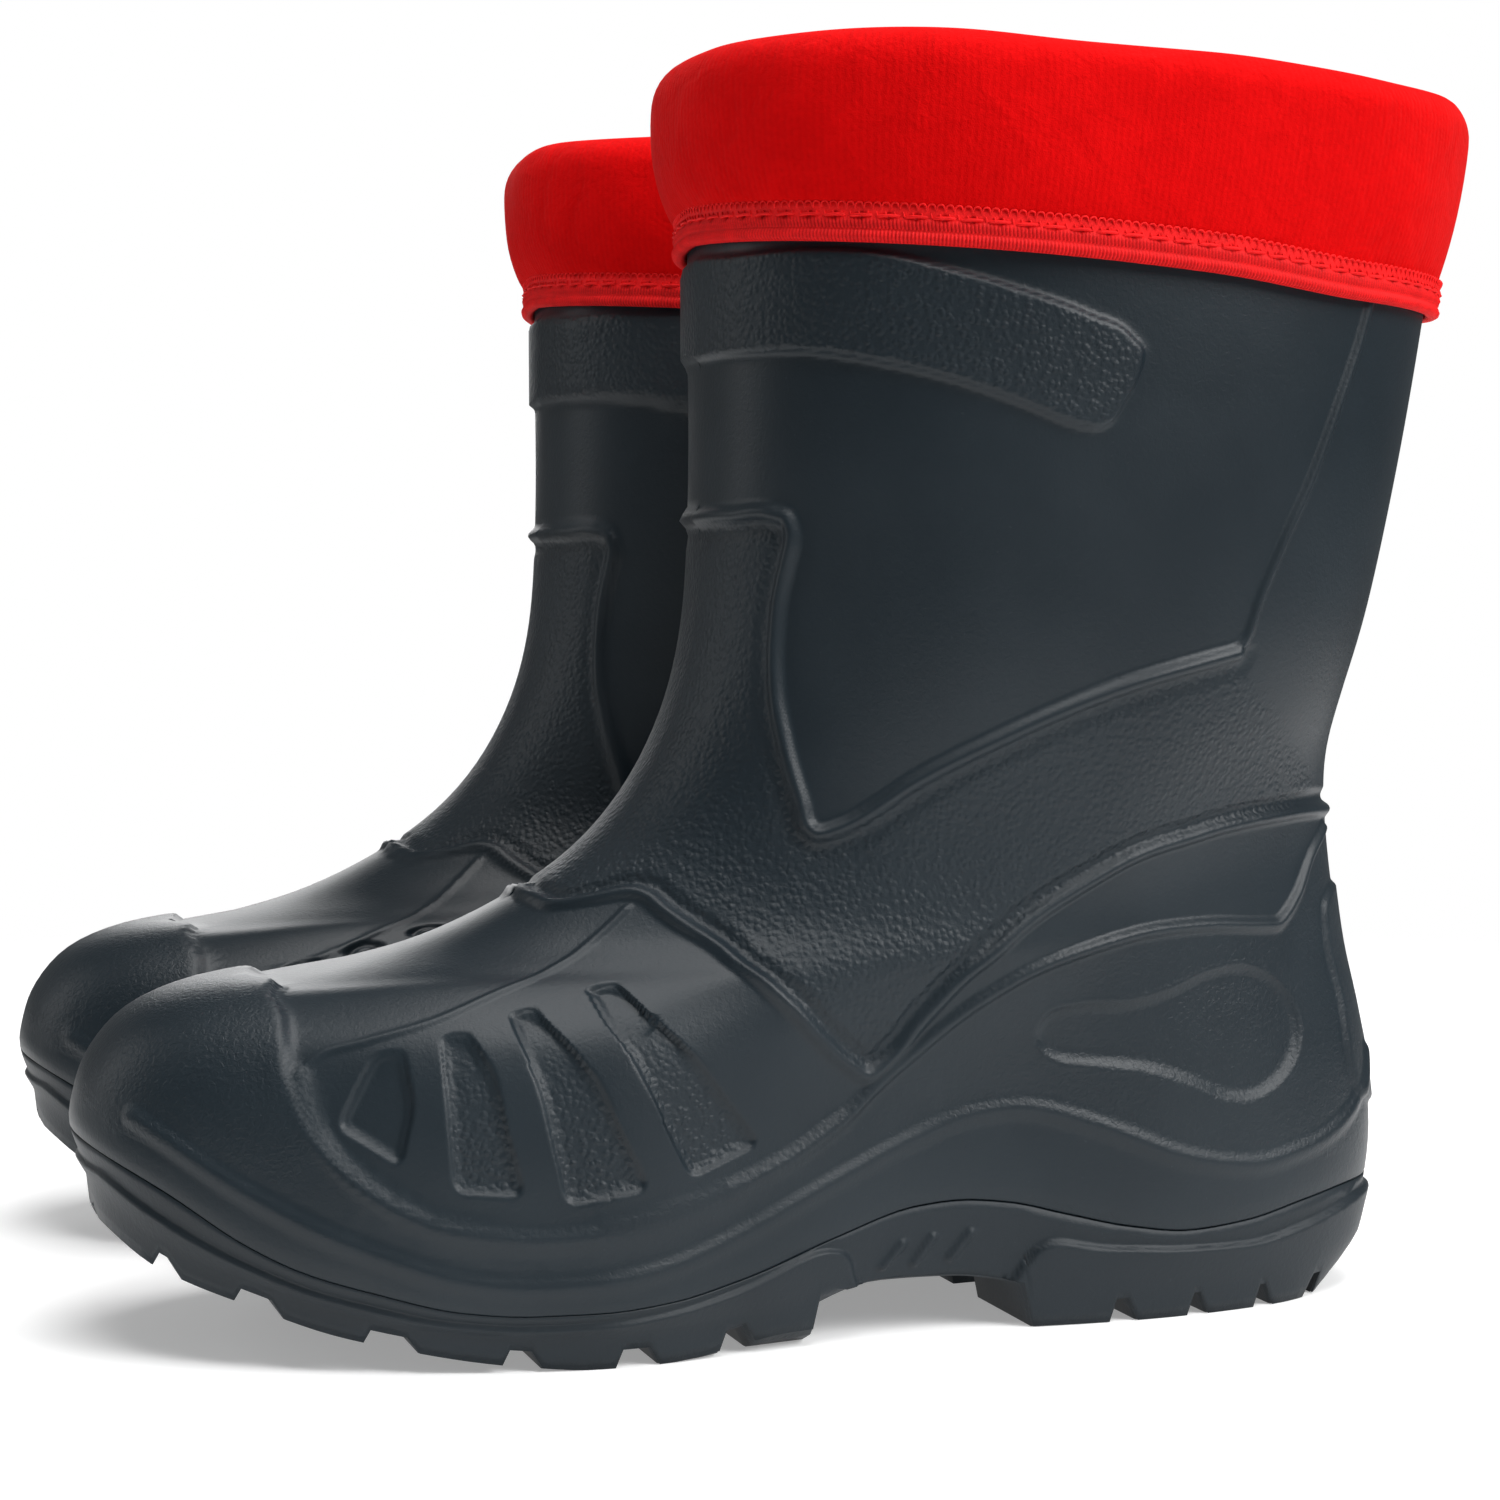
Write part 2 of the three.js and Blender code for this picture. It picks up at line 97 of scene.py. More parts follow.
LOOPS = (
    ControlLoop(0.00, (219.0, 26.0), (6.5, 9.0), 40.0, 2.6),
    ControlLoop(0.07, (222.2, 33.0), (4.0, 18.6), 42.5, 2.6),
    ControlLoop(0.13, (222.0, 38.0), (3.2, 27.0), 42.5, 2.6),
    ControlLoop(0.20, (219.6, 45.0), (4.0, 37.0), 41.5, 2.55),
    ControlLoop(0.27, (213.5, 51.8), (5.6, 47.0), 39.3, 2.45),
    ControlLoop(0.34, (203.0, 56.0), (7.5, 56.5), 37.0, 2.3),
    ControlLoop(0.42, (188.0, 57.2), (8.8, 66.0), 35.6, 2.2),
    ControlLoop(0.50, (168.0, 61.5), (9.8, 75.0), 35.0, 2.1),
    ControlLoop(0.57, (150.0, 70.3), (10.8, 84.0), 35.6, 2.1),
    ControlLoop(0.64, (137.5, 80.5), (10.9, 92.0), 37.0, 2.15),
    ControlLoop(0.71, (128.5, 94.0), (9.3, 101.0), 39.2, 2.2),
    ControlLoop(0.78, (123.3, 110.0), (6.0, 114.0), 41.3, 2.25),
    ControlLoop(0.86, (121.4, 135.0), (1.5, 136.0), 43.5, 2.3),
    ControlLoop(0.93, (121.4, 160.0), (-2.6, 158.5), 45.0, 2.3),
    ControlLoop(1.00, (121.4, 196.5), (-8.0, 192.5), 46.5, 2.3),
)
PARTING_LINE = (
    (4, 18.6), (14, 18.2), (25, 16.8), (37, 14.7), (48, 14), (59, 15.4), (70, 18), (80, 20.4),
    (88, 21.1), (95, 20.6), (109, 16.9), (126, 11.6), (137, 9.4), (149, 8.6), (159, 8.6),
    (169, 9.4), (182, 12.5), (192, 15.5), (200, 19.4), (211, 26.8), (222, 33),
)
UNDERSIDE = (
    (4, 9.5), (8, 7), (14, 5.2), (40, 5), (66, 5.2), (78, 7.5), (88, 9), (100, 9.2), (110, 8),
    (122, 5.5), (150, 5), (170, 6.5), (187, 10), (200, 14.5), (207, 17), (213, 20.5), (219, 26),
)
TREAD = (
    (6, 2), (14, 0), (150, 0), (157, 0.6), (165, 1.6), (177, 3.8), (187, 6), (200, 10.5),
    (207, 13), (212, 15.2), (219, 20.5),
)
LUGS = (
    (9, 17), (22, 31), (35, 44), (48, 57), (62, 75), (113, 123), (129, 139), (146, 157),
    (163, 175), (183, 194), (201, 208), (212, 218.5),
)
FOOT_SHAPE = ((0, 0.86), (0.2, 0.83), (0.4, 0.745), (0.55, 0.86), (0.67, 1), (0.8, 1.03), (1, 1))
INSTEP_SHAPE = ((0, 0.9), (0.2, 0.93), (0.4, 1), (0.6, 0.95), (0.8, 0.88), (1, 0.84))
FOOT_SHARE = ((0, 1), (0.16, 1), (0.42, 0), (1, 0))
INSTEP_SHARE = ((0, 0), (0.16, 0), (0.42, 1), (0.55, 1), (0.8, 0), (1, 0))
WAVE_SHARE = ((0, 1), (0.07, 1), (0.26, 0), (1, 0))
HEM_LINE = ((0, 0.957), (0.2, 0.953), (0.41, 0.949), (0.54, 0.946), (0.71, 0.9408),
            (0.85, 0.9405), (1, 0.943))


# ---- curves -------------------------------------------------------------------------------------
def mix(a: Any, b: Any, share: Any) -> Any:
    """The value a share of the way from a to b."""
    return a + (b - a) * share


def smooth(share: Any) -> Array:
    """A smooth step from 0 to 1 as share goes from 0 to 1."""
    share = np.clip(share, 0, 1)
    return share * share * (3 - 2 * share)


def hump(distance: Any) -> Array:
    """A round hump: 1 at distance 0, and 0 from distance 1 on."""
    return (1 - np.clip(np.abs(distance), 0, 1) ** 2) ** 2


def curve(points: Points, monotone: bool = True) -> Curve:
    """A cubic curve through points.

    Args:
        points: The (x, y) points, in order of x.
        monotone: Whether the curve may not overshoot between its points.

    Returns:
        The function y(x), for arrays.
    """
    xs, ys = np.array(points, float).T
    steps = np.diff(xs)
    rates = np.diff(ys) / steps
    before, after, step, following = rates[:-1], rates[1:], steps[:-1], steps[1:]
    inner = (before * following + after * step) / (step + following)
    if monotone:
        same = before * after > 0
        weights = (2 * following + step, following + 2 * step)
        parts = (weights[0] / np.where(same, before, 1) + weights[1] / np.where(same, after, 1))
        inner = np.where(same, (weights[0] + weights[1]) / np.where(same, parts, 1), 0)
    slopes = np.r_[rates[0], inner, rates[-1]]

    def at(x: Array) -> Array:
        """The curve's value at x."""
        x = np.clip(np.asarray(x, float), xs[0], xs[-1])
        i = np.clip(np.searchsorted(xs, x, side="right") - 1, 0, len(xs) - 2)
        h = steps[i]
        f = (x - xs[i]) / h
        g = 1 - f
        return (ys[i] * (1 + 2 * f) * g * g + slopes[i] * h * f * g * g
                + ys[i + 1] * f * f * (3 - 2 * f) - slopes[i + 1] * h * f * f * g)

    return at


parting_z = curve(PARTING_LINE)
underside_z = curve(UNDERSIDE)
tread_z = curve(TREAD)
hem_level = curve(HEM_LINE)


def hem_top(u: Array) -> Array:
    """Level of the hem's upper edge, where the fleece begins."""
    return hem_level(np.abs(u)) + (HEM_HEIGHT - 0.3) / HEM_SCALE


def core_top(s: Array) -> Array:
    """Height of the outsole's top, which the shell stands on."""
    return underside_z(s) + SOLE_CORE


def floor_top(s: Array) -> Array:
    """Height of the shell's own floor."""
    return core_top(s) + SOLE_CORE


def middle_line(s: Array) -> Array:
    """Where the middle of the foot lies across, at the places s."""
    return TOE_SHIFT * smooth(s / FOOT_LENGTH - 0.5)


# ---- the skin -----------------------------------------------------------------------------------
@dataclass
class BootForm:
    """The boot's smooth skin, kept as a fine table of places and outward directions."""

    columns: int = 480
    levels: int = 420
    heel_x: float = 0.0
    half_spacing: float = 0.0
    places: Array = field(init=False)
    normals: Array = field(init=False)

    def __post_init__(self) -> None:
        """Places the boot in the frame and fills the tables."""
        front = LOOPS[1].front[0] * MM
        self.heel_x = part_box("left_outsole")[0].x + front
        low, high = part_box("left_liner_leg")
        self.half_spacing = -(low.y + high.y) / 2
        traits = {
            "front_s": [(c.level, c.front[0]) for c in LOOPS],
            "front_z": [(c.level, c.front[1]) for c in LOOPS],
            "rear_s": [(c.level, c.rear[0]) for c in LOOPS],
            "rear_z": [(c.level, c.rear[1]) for c in LOOPS],
            "half": [(c.level, c.half) for c in LOOPS],
            "full": [(c.level, c.full) for c in LOOPS],
        }
        self.trait = {name: curve(points, monotone=False) for name, points in traits.items()}
        rows = [self._loop(v) for v in np.linspace(0, 1, self.levels + 1)]
        self.places = np.array(rows)
        share = smooth((np.linspace(0, 1, self.levels + 1)[1:-1] - 0.08) / 0.06)[:, None, None]
        u = np.linspace(-1, 1, 2 * self.columns + 1)[1:-1]
        fore = smooth((0.32 - np.abs(u)) / 0.16)[:, None] * share
        for _ in range(50):
            softer = (self.places[:-2] + 2 * self.places[1:-1] + self.places[2:]) / 4
            self.places[1:-1] = mix(self.places[1:-1], softer, share)
            inner = self.places[1:-1]
            softer = (inner[:, :-2] + 2 * inner[:, 1:-1] + inner[:, 2:]) / 4
            inner[:, 1:-1] = mix(inner[:, 1:-1], softer, fore)
        wide = np.concatenate([self.places[:, -2:-1], self.places, self.places[:, 1:2]], 1)
        around = wide[:, 2:] - wide[:, :-2]
        up = np.gradient(self.places, axis=0)
        normals = np.cross(up, around)
        self.normals = normals / np.linalg.norm(normals, axis=-1, keepdims=True)

    def _height(self, v: float, s: Array, x: Array) -> Array:
        """Height of the loop at level v, at the place s, a share x from rear to front."""
        trait = self.trait
        if v <= PARTING:
            return mix(underside_z(s), parting_z(s), v / PARTING)
        straight = mix(trait["rear_z"](PARTING), trait["front_z"](PARTING), x)
        low_s = mix(trait["rear_s"](PARTING), trait["front_s"](PARTING), x)
        wave = parting_z(low_s) - straight
        return mix(trait["rear_z"](v), trait["front_z"](v), x) + wave * curve(WAVE_SHARE)(v)

    def _half_loop(self, v: float, side: int) -> Array:
        """One side of a loop from its front to its rear, at even distances."""
        trait = self.trait
        foot, instep = curve(FOOT_SHARE)(v), curve(INSTEP_SHARE)(v)
        power = 2 / trait["full"](v)
        angle = np.linspace(0, math.pi, 721)
        cosine = np.cos(angle)
        x = (np.sign(cosine) * np.abs(cosine) ** power + 1) / 2
        s = mix(trait["rear_s"](v), trait["front_s"](v), x)
        shape = foot * curve(FOOT_SHAPE)(x) + instep * curve(INSTEP_SHAPE)(x) + 1 - foot - instep
        tuck = 1 - (side == INNER) * ARCH_TUCK * foot * np.exp(-(((x - 0.4) / 0.16) ** 2))
        width = trait["half"](v) * np.abs(np.sin(angle)) ** power * shape * tuck
        shift = TOE_SHIFT * smooth((x - 0.5) / 0.5) * smooth((0.62 - v) / 0.3)
        line = np.stack([s, -side * width + shift, self._height(v, s, x)], 1)
        walked = np.r_[0, np.cumsum(np.linalg.norm(np.diff(line, axis=0), axis=1))]
        wanted = np.linspace(0, walked[-1], self.columns + 1)
        return np.stack([np.interp(wanted, walked, line[:, k]) for k in range(3)], 1)

    def _loop(self, v: float) -> Array:
        """The whole loop at level v, from the rear by the inner side and the front to the rear."""
        inner, outer = self._half_loop(v, INNER), self._half_loop(v, OUTER)
        return np.concatenate([inner[::-1], outer[1:]])

    def _look_up(self, table: Array, u: Array, v: Array) -> Array:
        """The table's value at (u, v), between its nearest entries."""
        x = (np.clip(u, -1, 1) + 1) / 2 * (table.shape[1] - 1)
        y = np.clip(v, 0, 1) * (table.shape[0] - 1)
        i = np.minimum(y.astype(int), table.shape[0] - 2)
        j = np.minimum(x.astype(int), table.shape[1] - 2)
        a, b = (y - i)[..., None], (x - j)[..., None]
        low = table[i, j] * (1 - b) + table[i, j + 1] * b
        high = table[i + 1, j] * (1 - b) + table[i + 1, j + 1] * b
        return low * (1 - a) + high * a

    def place(self, u: Array, v: Array, out: Any = 0.0, lift: Any = 0.0) -> Array:
        """Points out from the skin at (u, v), then raised by lift, in millimetres."""
        u, v = np.broadcast_arrays(np.asarray(u, float), np.asarray(v, float))
        normal = self._look_up(self.normals, u, v)
        normal = normal / np.linalg.norm(normal, axis=-1, keepdims=True)
        point = self._look_up(self.places, u, v) + normal * np.asarray(out)[..., None]
        point[..., 2] += lift
        return point

    def even_levels(self, low: float, high: float, count: int) -> Array:
        """Levels that lie evenly up the skin, on average over its front, side and rear."""
        v = np.linspace(low, high, 400)
        steps = np.diff(self.place(np.array([[0.0], [0.5], [1.0]]), v), axis=1)
        walked = np.r_[0, np.cumsum(np.linalg.norm(steps, axis=-1).mean(0))]
        return np.interp(np.linspace(0, walked[-1], count), walked, v)

    def in_frame(self, points: Array) -> Array:
        """Boot coordinates in millimetres turned into the left boot's place in the frame."""
        x = self.heel_x - points[..., 0] * MM
        y = points[..., 1] * MM - self.half_spacing
        return np.stack([x, y, points[..., 2] * MM], -1)


# ---- relief -------------------------------------------------------------------------------------
class Kind(Enum):
    """What a moulded feature is."""

    RIDGE = "a rib along a line"
    PANEL = "an area raised or sunk inside its outline"


@dataclass(frozen=True)
class Feature:
    """One moulded feature, drawn on the skin with (u, v) points.

    Its width is half a ridge's width, or the width of a panel's edge. A panel that crosses the
    middle of the boot lists in closing the points that close its outline past the middle line.
    """

    kind: Kind
    points: Points
    height: float
    width: float
    closing: Points = ()
    closed: bool = False
    corner: float = 0.0
    lip: float = 0.0
    lip_width: float = 1.2
    groove: float = 0.0
    groove_at: float = 2.6
    fade_u: tuple[float, float] | None = None
    fade_v: tuple[float, float] | None = None
    sharp: int = 2
    sides: tuple[int, ...] = (OUTER, INNER)

    def reach(self) -> float:
        """How far from its line the feature still shapes the skin."""
        if self.kind is Kind.RIDGE:
            return self.width + (self.groove_at if self.groove else 0)
        return max(self.width / 2, self.lip_width if self.lip else 0)

    def line(self) -> Array:
        """The feature's line as closely set (u, v) points."""
        scale = np.array([SIDE_LENGTH, SKIN_HEIGHT])
        points = np.array(self.points, float) * scale
        if self.corner:
            return self._filleted(points) / scale
        return self._curved(points) / scale

    def _curved(self, points: Array, step: float = 1.2) -> Array:
        """A smooth line through points."""
        if self.closed:
            points = np.concatenate([points[-2:], points, points[:2]])
        walked = np.r_[0, np.cumsum(np.linalg.norm(np.diff(points, axis=0), axis=1))]
        wanted = np.arange(walked[0], walked[-1], step)
        if self.closed:
            wanted = np.linspace(walked[2], walked[-2], int((walked[-2] - walked[2]) / step) + 2)
        else:
            wanted = np.r_[wanted, walked[-1]]
        pairs = [list(zip(walked, points[:, k])) for k in range(2)]
        return np.stack([curve(pair, monotone=False)(wanted) for pair in pairs], 1)

    def _filleted(self, points: Array) -> Array:
        """Straight lines between points, with round corners."""
        count = len(points)
        line: list[Array] = []
        for i in range(count):
            before, corner, after = points[i - 1], points[i], points[(i + 1) % count]
            if not self.closed and i in (0, count - 1):
                line.append(corner)
                continue
            into, out = before - corner, after - corner
            cut = [min(self.corner, np.linalg.norm(d) / 2) / np.linalg.norm(d) for d in (into, out)]
            start, end = corner + into * cut[0], corner + out * cut[1]
            for f in np.linspace(0, 1, 5):
                line.append((1 - f) ** 2 * start + 2 * f * (1 - f) * corner + f * f * end)
        if self.closed:
            line.append(line[0])
        return np.array(line)


def near_line(points: Array, line: Array, reach: float) -> tuple[Array, Array]:
    """Distances from points to a line in space.

    Args:
        points: The points, one a row.
        line: The line's own points.
        reach: The largest distance worth knowing.

    Returns:
        Each point's distance, at most reach, and the nearest stretch's index or -1.
    """
    best = np.full(len(points), reach)
    stretch = np.full(len(points), -1)
    run = 6
    for start in range(0, len(line) - 1, run):
        part = line[start:start + run + 1]
        low, high = part.min(0) - reach, part.max(0) + reach
        close = np.flatnonzero(((points > low) & (points < high)).all(1))
        if not len(close):
            continue
        steps = np.diff(part, axis=0)
        offset = points[close][:, None] - part[:-1]
        share = np.clip((offset * steps).sum(-1) / np.maximum((steps ** 2).sum(-1), 1e-9), 0, 1)
        distance = np.linalg.norm(offset - share[..., None] * steps, axis=-1)
        nearest, lowest = distance.argmin(1), distance.min(1)
        better = lowest < best[close]
        best[close[better]] = lowest[better]
        stretch[close[better]] = nearest[better] + start
    return best, stretch


def inside(u: Array, v: Array, outline: Array) -> Array:
    """Whether (u, v) places lie inside a closed outline."""
    found = np.zeros(len(u), bool)
    for (u0, v0), (u1, v1) in zip(outline, np.roll(outline, -1, axis=0)):
        if v0 == v1:
            continue
        crosses = (v0 > v) != (v1 > v)
        found ^= crosses & (u < (u1 - u0) * (v - v0) / (v1 - v0) + u0)
    return found


def on_side(u: Array, side: int) -> Array:
    """Which places lie on a side of the boot; the front line counts as the outer side."""
    return np.flatnonzero((u * side > 0) | ((u == 0) & (side == OUTER)))


@dataclass
class Relief:
    """All moulded features of a skin."""

    form: BootForm
    features: Sequence[Feature]

    def _distances(self, feature: Feature, side: int, places: Array, u: Array, v: Array,
                   reach: float) -> tuple[Array, Array]:
        """Distance to a feature's line, and 1 inside or to its left, -1 elsewhere."""
        line = feature.line()
        path = self.form.place(line[:, 0] * side, line[:, 1])
        distance, stretch = near_line(places, path, reach)
        if feature.kind is Kind.PANEL:
            closing = np.array(feature.closing, float).reshape(-1, 2)
            within = inside(u, v, np.concatenate([line, closing]))
            return distance, np.where(within, 1.0, -1.0)
        start = line[np.clip(stretch, 0, None)]
        along = line[np.clip(stretch + 1, 0, len(line) - 1)] - start
        cross = along[:, 0] * (v - start[:, 1]) - along[:, 1] * (u - start[:, 0])
        return distance, np.sign(cross)

    def nearness(self, u: Array, v: Array, sharp: int = 1) -> Array:
        """Distance from each place to the nearest edge of a feature at least this sharp."""
        least = np.full(len(u), 9.0)
        places = self.form.place(u, v)
        for side in (OUTER, INNER):
            chosen = np.flatnonzero(u * side >= 0)
            for feature in self.features:
                least_sharp = max(1, feature.sharp - (side == INNER))
                if side in feature.sides and least_sharp >= sharp:
                    line = feature.line()
                    path = self.form.place(line[:, 0] * side, line[:, 1])
                    reach = feature.reach()
                    distance, _ = near_line(places[chosen], path, 9.0)
                    least[chosen] = np.minimum(least[chosen], distance - reach)
        return least

    def height(self, u: Array, v: Array) -> Array:
        """How far the relief stands out from the skin at each place, in millimetres."""
        ridges, panels = np.zeros(len(u)), np.zeros(len(u))
        places = self.form.place(u, v)
        for side in (OUTER, INNER):
            chosen = on_side(u, side)
            au, av, spots = np.abs(u[chosen]), v[chosen], places[chosen]
            for feature in self.features:
                if side not in feature.sides:
                    continue
                reach = feature.reach() + 0.5
                distance, sign = self._distances(feature, side, spots, au, av, reach)
                share = np.ones(len(chosen))
                if feature.fade_u:
                    start, end = feature.fade_u
                    share *= 1 - smooth((au - start) / (end - start))
                if feature.fade_v:
                    start, end = feature.fade_v
                    share *= smooth((av - start) / (end - start))
                if feature.kind is Kind.RIDGE:
                    rise = feature.height * hump(distance / feature.width)
                    ridges[chosen] = np.where(np.abs(rise * share) > np.abs(ridges[chosen]),
                                              rise * share, ridges[chosen])
                    side_on = sign * np.sign(feature.groove or 1) < 0
                    dip = hump((distance - feature.groove_at) / feature.width)
                    panels[chosen] -= abs(feature.groove) * dip * side_on * share
                else:
                    signed = distance * sign
                    rise = feature.height * smooth(signed / feature.width + 0.5)
                    lip_at = np.sign(feature.height or 1) * feature.width / 2
                    lip = feature.lip * hump((signed + lip_at) / feature.lip_width)
                    panels[chosen] += (rise + lip) * share
        return ridges + panels

    def zone(self, outline: Points, soft: float, u: Array, v: Array,
             side: int | None = None) -> Array:
        """A mask that is 1 inside an outline and fades to 0 over a soft edge."""
        mask = np.zeros(len(u))
        zone = Feature(Kind.PANEL, outline, 0, soft, closed=True, corner=2.0)
        places = self.form.place(u, v)
        for way in (OUTER, INNER):
            if side not in (None, way):
                continue
            chosen = on_side(u, way)
            found = self._distances(zone, way, places[chosen], np.abs(u[chosen]), v[chosen], soft)
            mask[chosen] = smooth(found[0] * found[1] / soft)
        return mask


SHIN_LINE = (
    (0, 0.843), (0.08, 0.843), (0.142, 0.842), (0.156, 0.839), (0.161, 0.832), (0.157, 0.820),
    (0.151, 0.801), (0.153, 0.775), (0.164, 0.745), (0.190, 0.706), (0.237, 0.651), (0.266, 0.620),
    (0.280, 0.613), (0.296, 0.618),
    (0.343, 0.661), (0.415, 0.699), (0.502, 0.730), (0.60, 0.750), (0.638, 0.756),
)
REAR_LINE = (
    (0.635, 0.757), (0.643, 0.765), (0.647, 0.793), (0.658, 0.820), (0.680, 0.856), (0.703, 0.900),
    (0.723, 0.936), (0.732, 0.96),
)
ANKLE_LINE = (
    (0, 0.564), (0.05, 0.556), (0.09, 0.548), (0.117, 0.553), (0.145, 0.559), (0.168, 0.553),
    (0.20, 0.537), (0.33, 0.456), (0.463, 0.306), (0.525, 0.229), (0.541, 0.217), (0.553, 0.232),
    (0.565, 0.283), (0.578, 0.376), (0.595, 0.489), (0.63, 0.527), (0.71, 0.549), (0.848, 0.554),
    (0.95, 0.544), (1.0, 0.540),
)
WINDOW_TOP = (
    (0.168, 0.539), (0.19, 0.497), (0.225, 0.437), (0.250, 0.35), (0.237, 0.289), (0.205, 0.259),
    (0.183, 0.243), (0.177, 0.224),
)
WINDOW_RIM = (
    (0.177, 0.224), (0.188, 0.201), (0.207, 0.176), (0.235, 0.155), (0.27, 0.140), (0.318, 0.133),
    (0.365, 0.133), (0.407, 0.139), (0.463, 0.151), (0.50, 0.163), (0.528, 0.180),
)
WINDOW_REAR = (
    (0.463, 0.151), (0.50, 0.163), (0.528, 0.180), (0.55, 0.209), (0.568, 0.237), (0.60, 0.307),
    (0.635, 0.363), (0.695, 0.403), (0.775, 0.407), (0.835, 0.396), (0.852, 0.395), (0.860, 0.405),
    (0.875, 0.432), (0.902, 0.497), (0.93, 0.522),
)
TOE_CAP = (
    (0, 0.392), (0.043, 0.387), (0.09, 0.338), (0.138, 0.287), (0.158, 0.252), (0.170, 0.224),
    (0.180, 0.206), (0.190, 0.190), (0.207, 0.172), (0.235, 0.153), (0.27, 0.139), (0.318, 0.132),
    (0.365, 0.132),
)
SWEEP = (
    (0.083, 0.150), (0.12, 0.137), (0.188, 0.123), (0.258, 0.108), (0.34, 0.099), (0.40, 0.103),
    (0.48, 0.119), (0.58, 0.149), (0.615, 0.167), (0.65, 0.176), (0.70, 0.166), (0.76, 0.144),
    (0.835, 0.127), (0.89, 0.140), (0.93, 0.180), (0.945, 0.215),
)
BAND = (
    (0, 0.953), (0.09, 0.951), (0.17, 0.951), (0.24, 0.949), (0.30, 0.944), (0.36, 0.938),
    (0.425, 0.930), (0.467, 0.922), (0.480, 0.915), (0.476, 0.905), (0.466, 0.895), (0.457, 0.886),
    (0.444, 0.882), (0.427, 0.883), (0.367, 0.894), (0.305, 0.904), (0.242, 0.911), (0.175, 0.916),
    (0.09, 0.917), (0, 0.917),
)
BAND_CLOSING = ((-0.06, 0.917), (-0.06, 0.953))
PETALS = (
    ((0.217, 0.247), (0.233, 0.250), (0.253, 0.205), (0.253, 0.170), (0.211, 0.189)),
    ((0.250, 0.267), (0.263, 0.273), (0.295, 0.229), (0.326, 0.159), (0.286, 0.159),
     (0.273, 0.206)),
    ((0.278, 0.301), (0.286, 0.314), (0.360, 0.223), (0.400, 0.160), (0.352, 0.153),
     (0.328, 0.213)),
    ((0.304, 0.349), (0.312, 0.368), (0.422, 0.236), (0.471, 0.176), (0.427, 0.163),
     (0.383, 0.233)),
)
TEARDROP = (
    (0.656, 0.240), (0.651, 0.262), (0.657, 0.288), (0.680, 0.296), (0.715, 0.297), (0.748, 0.310),
    (0.782, 0.332), (0.815, 0.337), (0.845, 0.317), (0.862, 0.280), (0.862, 0.241), (0.845, 0.206),
    (0.82, 0.189), (0.795, 0.190), (0.77, 0.204), (0.73, 0.219), (0.69, 0.224), (0.667, 0.229),
)
HEEL_STRIP = (
    (1.0, 0.432), (0.935, 0.430), (0.921, 0.415), (0.916, 0.373), (0.917, 0.293), (0.914, 0.205),
    (0.922, 0.170), (0.94, 0.160), (1.0, 0.157),
)
ROUNDS = ((0.228, 0.264), (0.260, 0.298), (0.287, 0.341))
ANKLE_ZONE = SHIN_LINE + ((0.70, 0.72), (0.80, 0.66), (0.9, 0.58)) + tuple(
    reversed(ANKLE_LINE[:-2]))
TOE_ZONE = TOE_CAP[:9] + ((0.20, 0.14), (0.12, 0.125), (0.0, 0.13))
HEEL_ZONE = ((0.53, 0.15), (0.56, 0.21), (0.60, 0.295), (0.64, 0.355), (0.70, 0.395), (0.84, 0.39),
             (0.90, 0.47), (0.99, 0.50), (0.99, 0.10), (0.84, 0.12), (0.74, 0.15), (0.65, 0.172))


def ring_outline(centre: tuple[float, float], radius: float, count: int = 14) -> Points:
    """A round outline on the skin, its radius in millimetres."""
    angles = [2 * math.pi * i / count for i in range(count)]
    return tuple((centre[0] + radius * math.cos(a) / RING_SCALE[0],
                  centre[1] + radius * math.sin(a) / RING_SCALE[1]) for a in angles)


def shell_features() -> list[Feature]:
    """Everything that is moulded into the upper shell."""
    cap_closing = ((0.365, -0.1), (-0.06, -0.1), (-0.06, 0.392))
    strip_closing = ((1.06, 0.157), (1.06, 0.432))
    features = [
        Feature(Kind.PANEL, BAND, 1.2, 1.0, closing=BAND_CLOSING, lip=0.1, lip_width=1.1),
        Feature(Kind.RIDGE, SHIN_LINE, 1.35, 1.9, groove=0.25, groove_at=2.9),
        Feature(Kind.RIDGE, REAR_LINE, 0.75, 1.3),
        Feature(Kind.RIDGE, ANKLE_LINE, 1.0, 1.7, groove=-0.55, groove_at=2.3),
        Feature(Kind.RIDGE, WINDOW_TOP, 0.4, 1.0),
        Feature(Kind.RIDGE, WINDOW_RIM, 0.75, 2.2, sharp=1),
        Feature(Kind.RIDGE, WINDOW_REAR, 0.9, 1.6),
        Feature(Kind.PANEL, TOE_CAP, 1.5, 1.1, closing=cap_closing, lip=0.3, lip_width=1.2,
                fade_u=(0.19, 0.33)),
        Feature(Kind.RIDGE, SWEEP, 0.65, 2.2),
        Feature(Kind.PANEL, TEARDROP, -0.85, 0.8, closed=True, lip=0.38, lip_width=1.2),
        Feature(Kind.PANEL, HEEL_STRIP, 0.8, 1.4, closing=strip_closing),
    ]
    for outline in PETALS:
        top = max(v for _, v in outline)
        features.append(Feature(Kind.PANEL, outline, -1.1, 1.0, closed=True, corner=1.8, lip=0.36,
                                lip_width=1.0, fade_v=(top + 0.012, top - 0.03), sharp=3,
                                sides=(OUTER,)))
    for centre in ROUNDS:
        features.append(Feature(Kind.PANEL, ring_outline(centre, 3.1), -1.1, 0.9, closed=True,
                                lip=0.25, lip_width=0.8, sharp=3, sides=(INNER,)))
        features.append(Feature(Kind.PANEL, ring_outline(centre, 1.6), 0.9, 0.9, closed=True,
                                sharp=3, sides=(INNER,)))
    return features


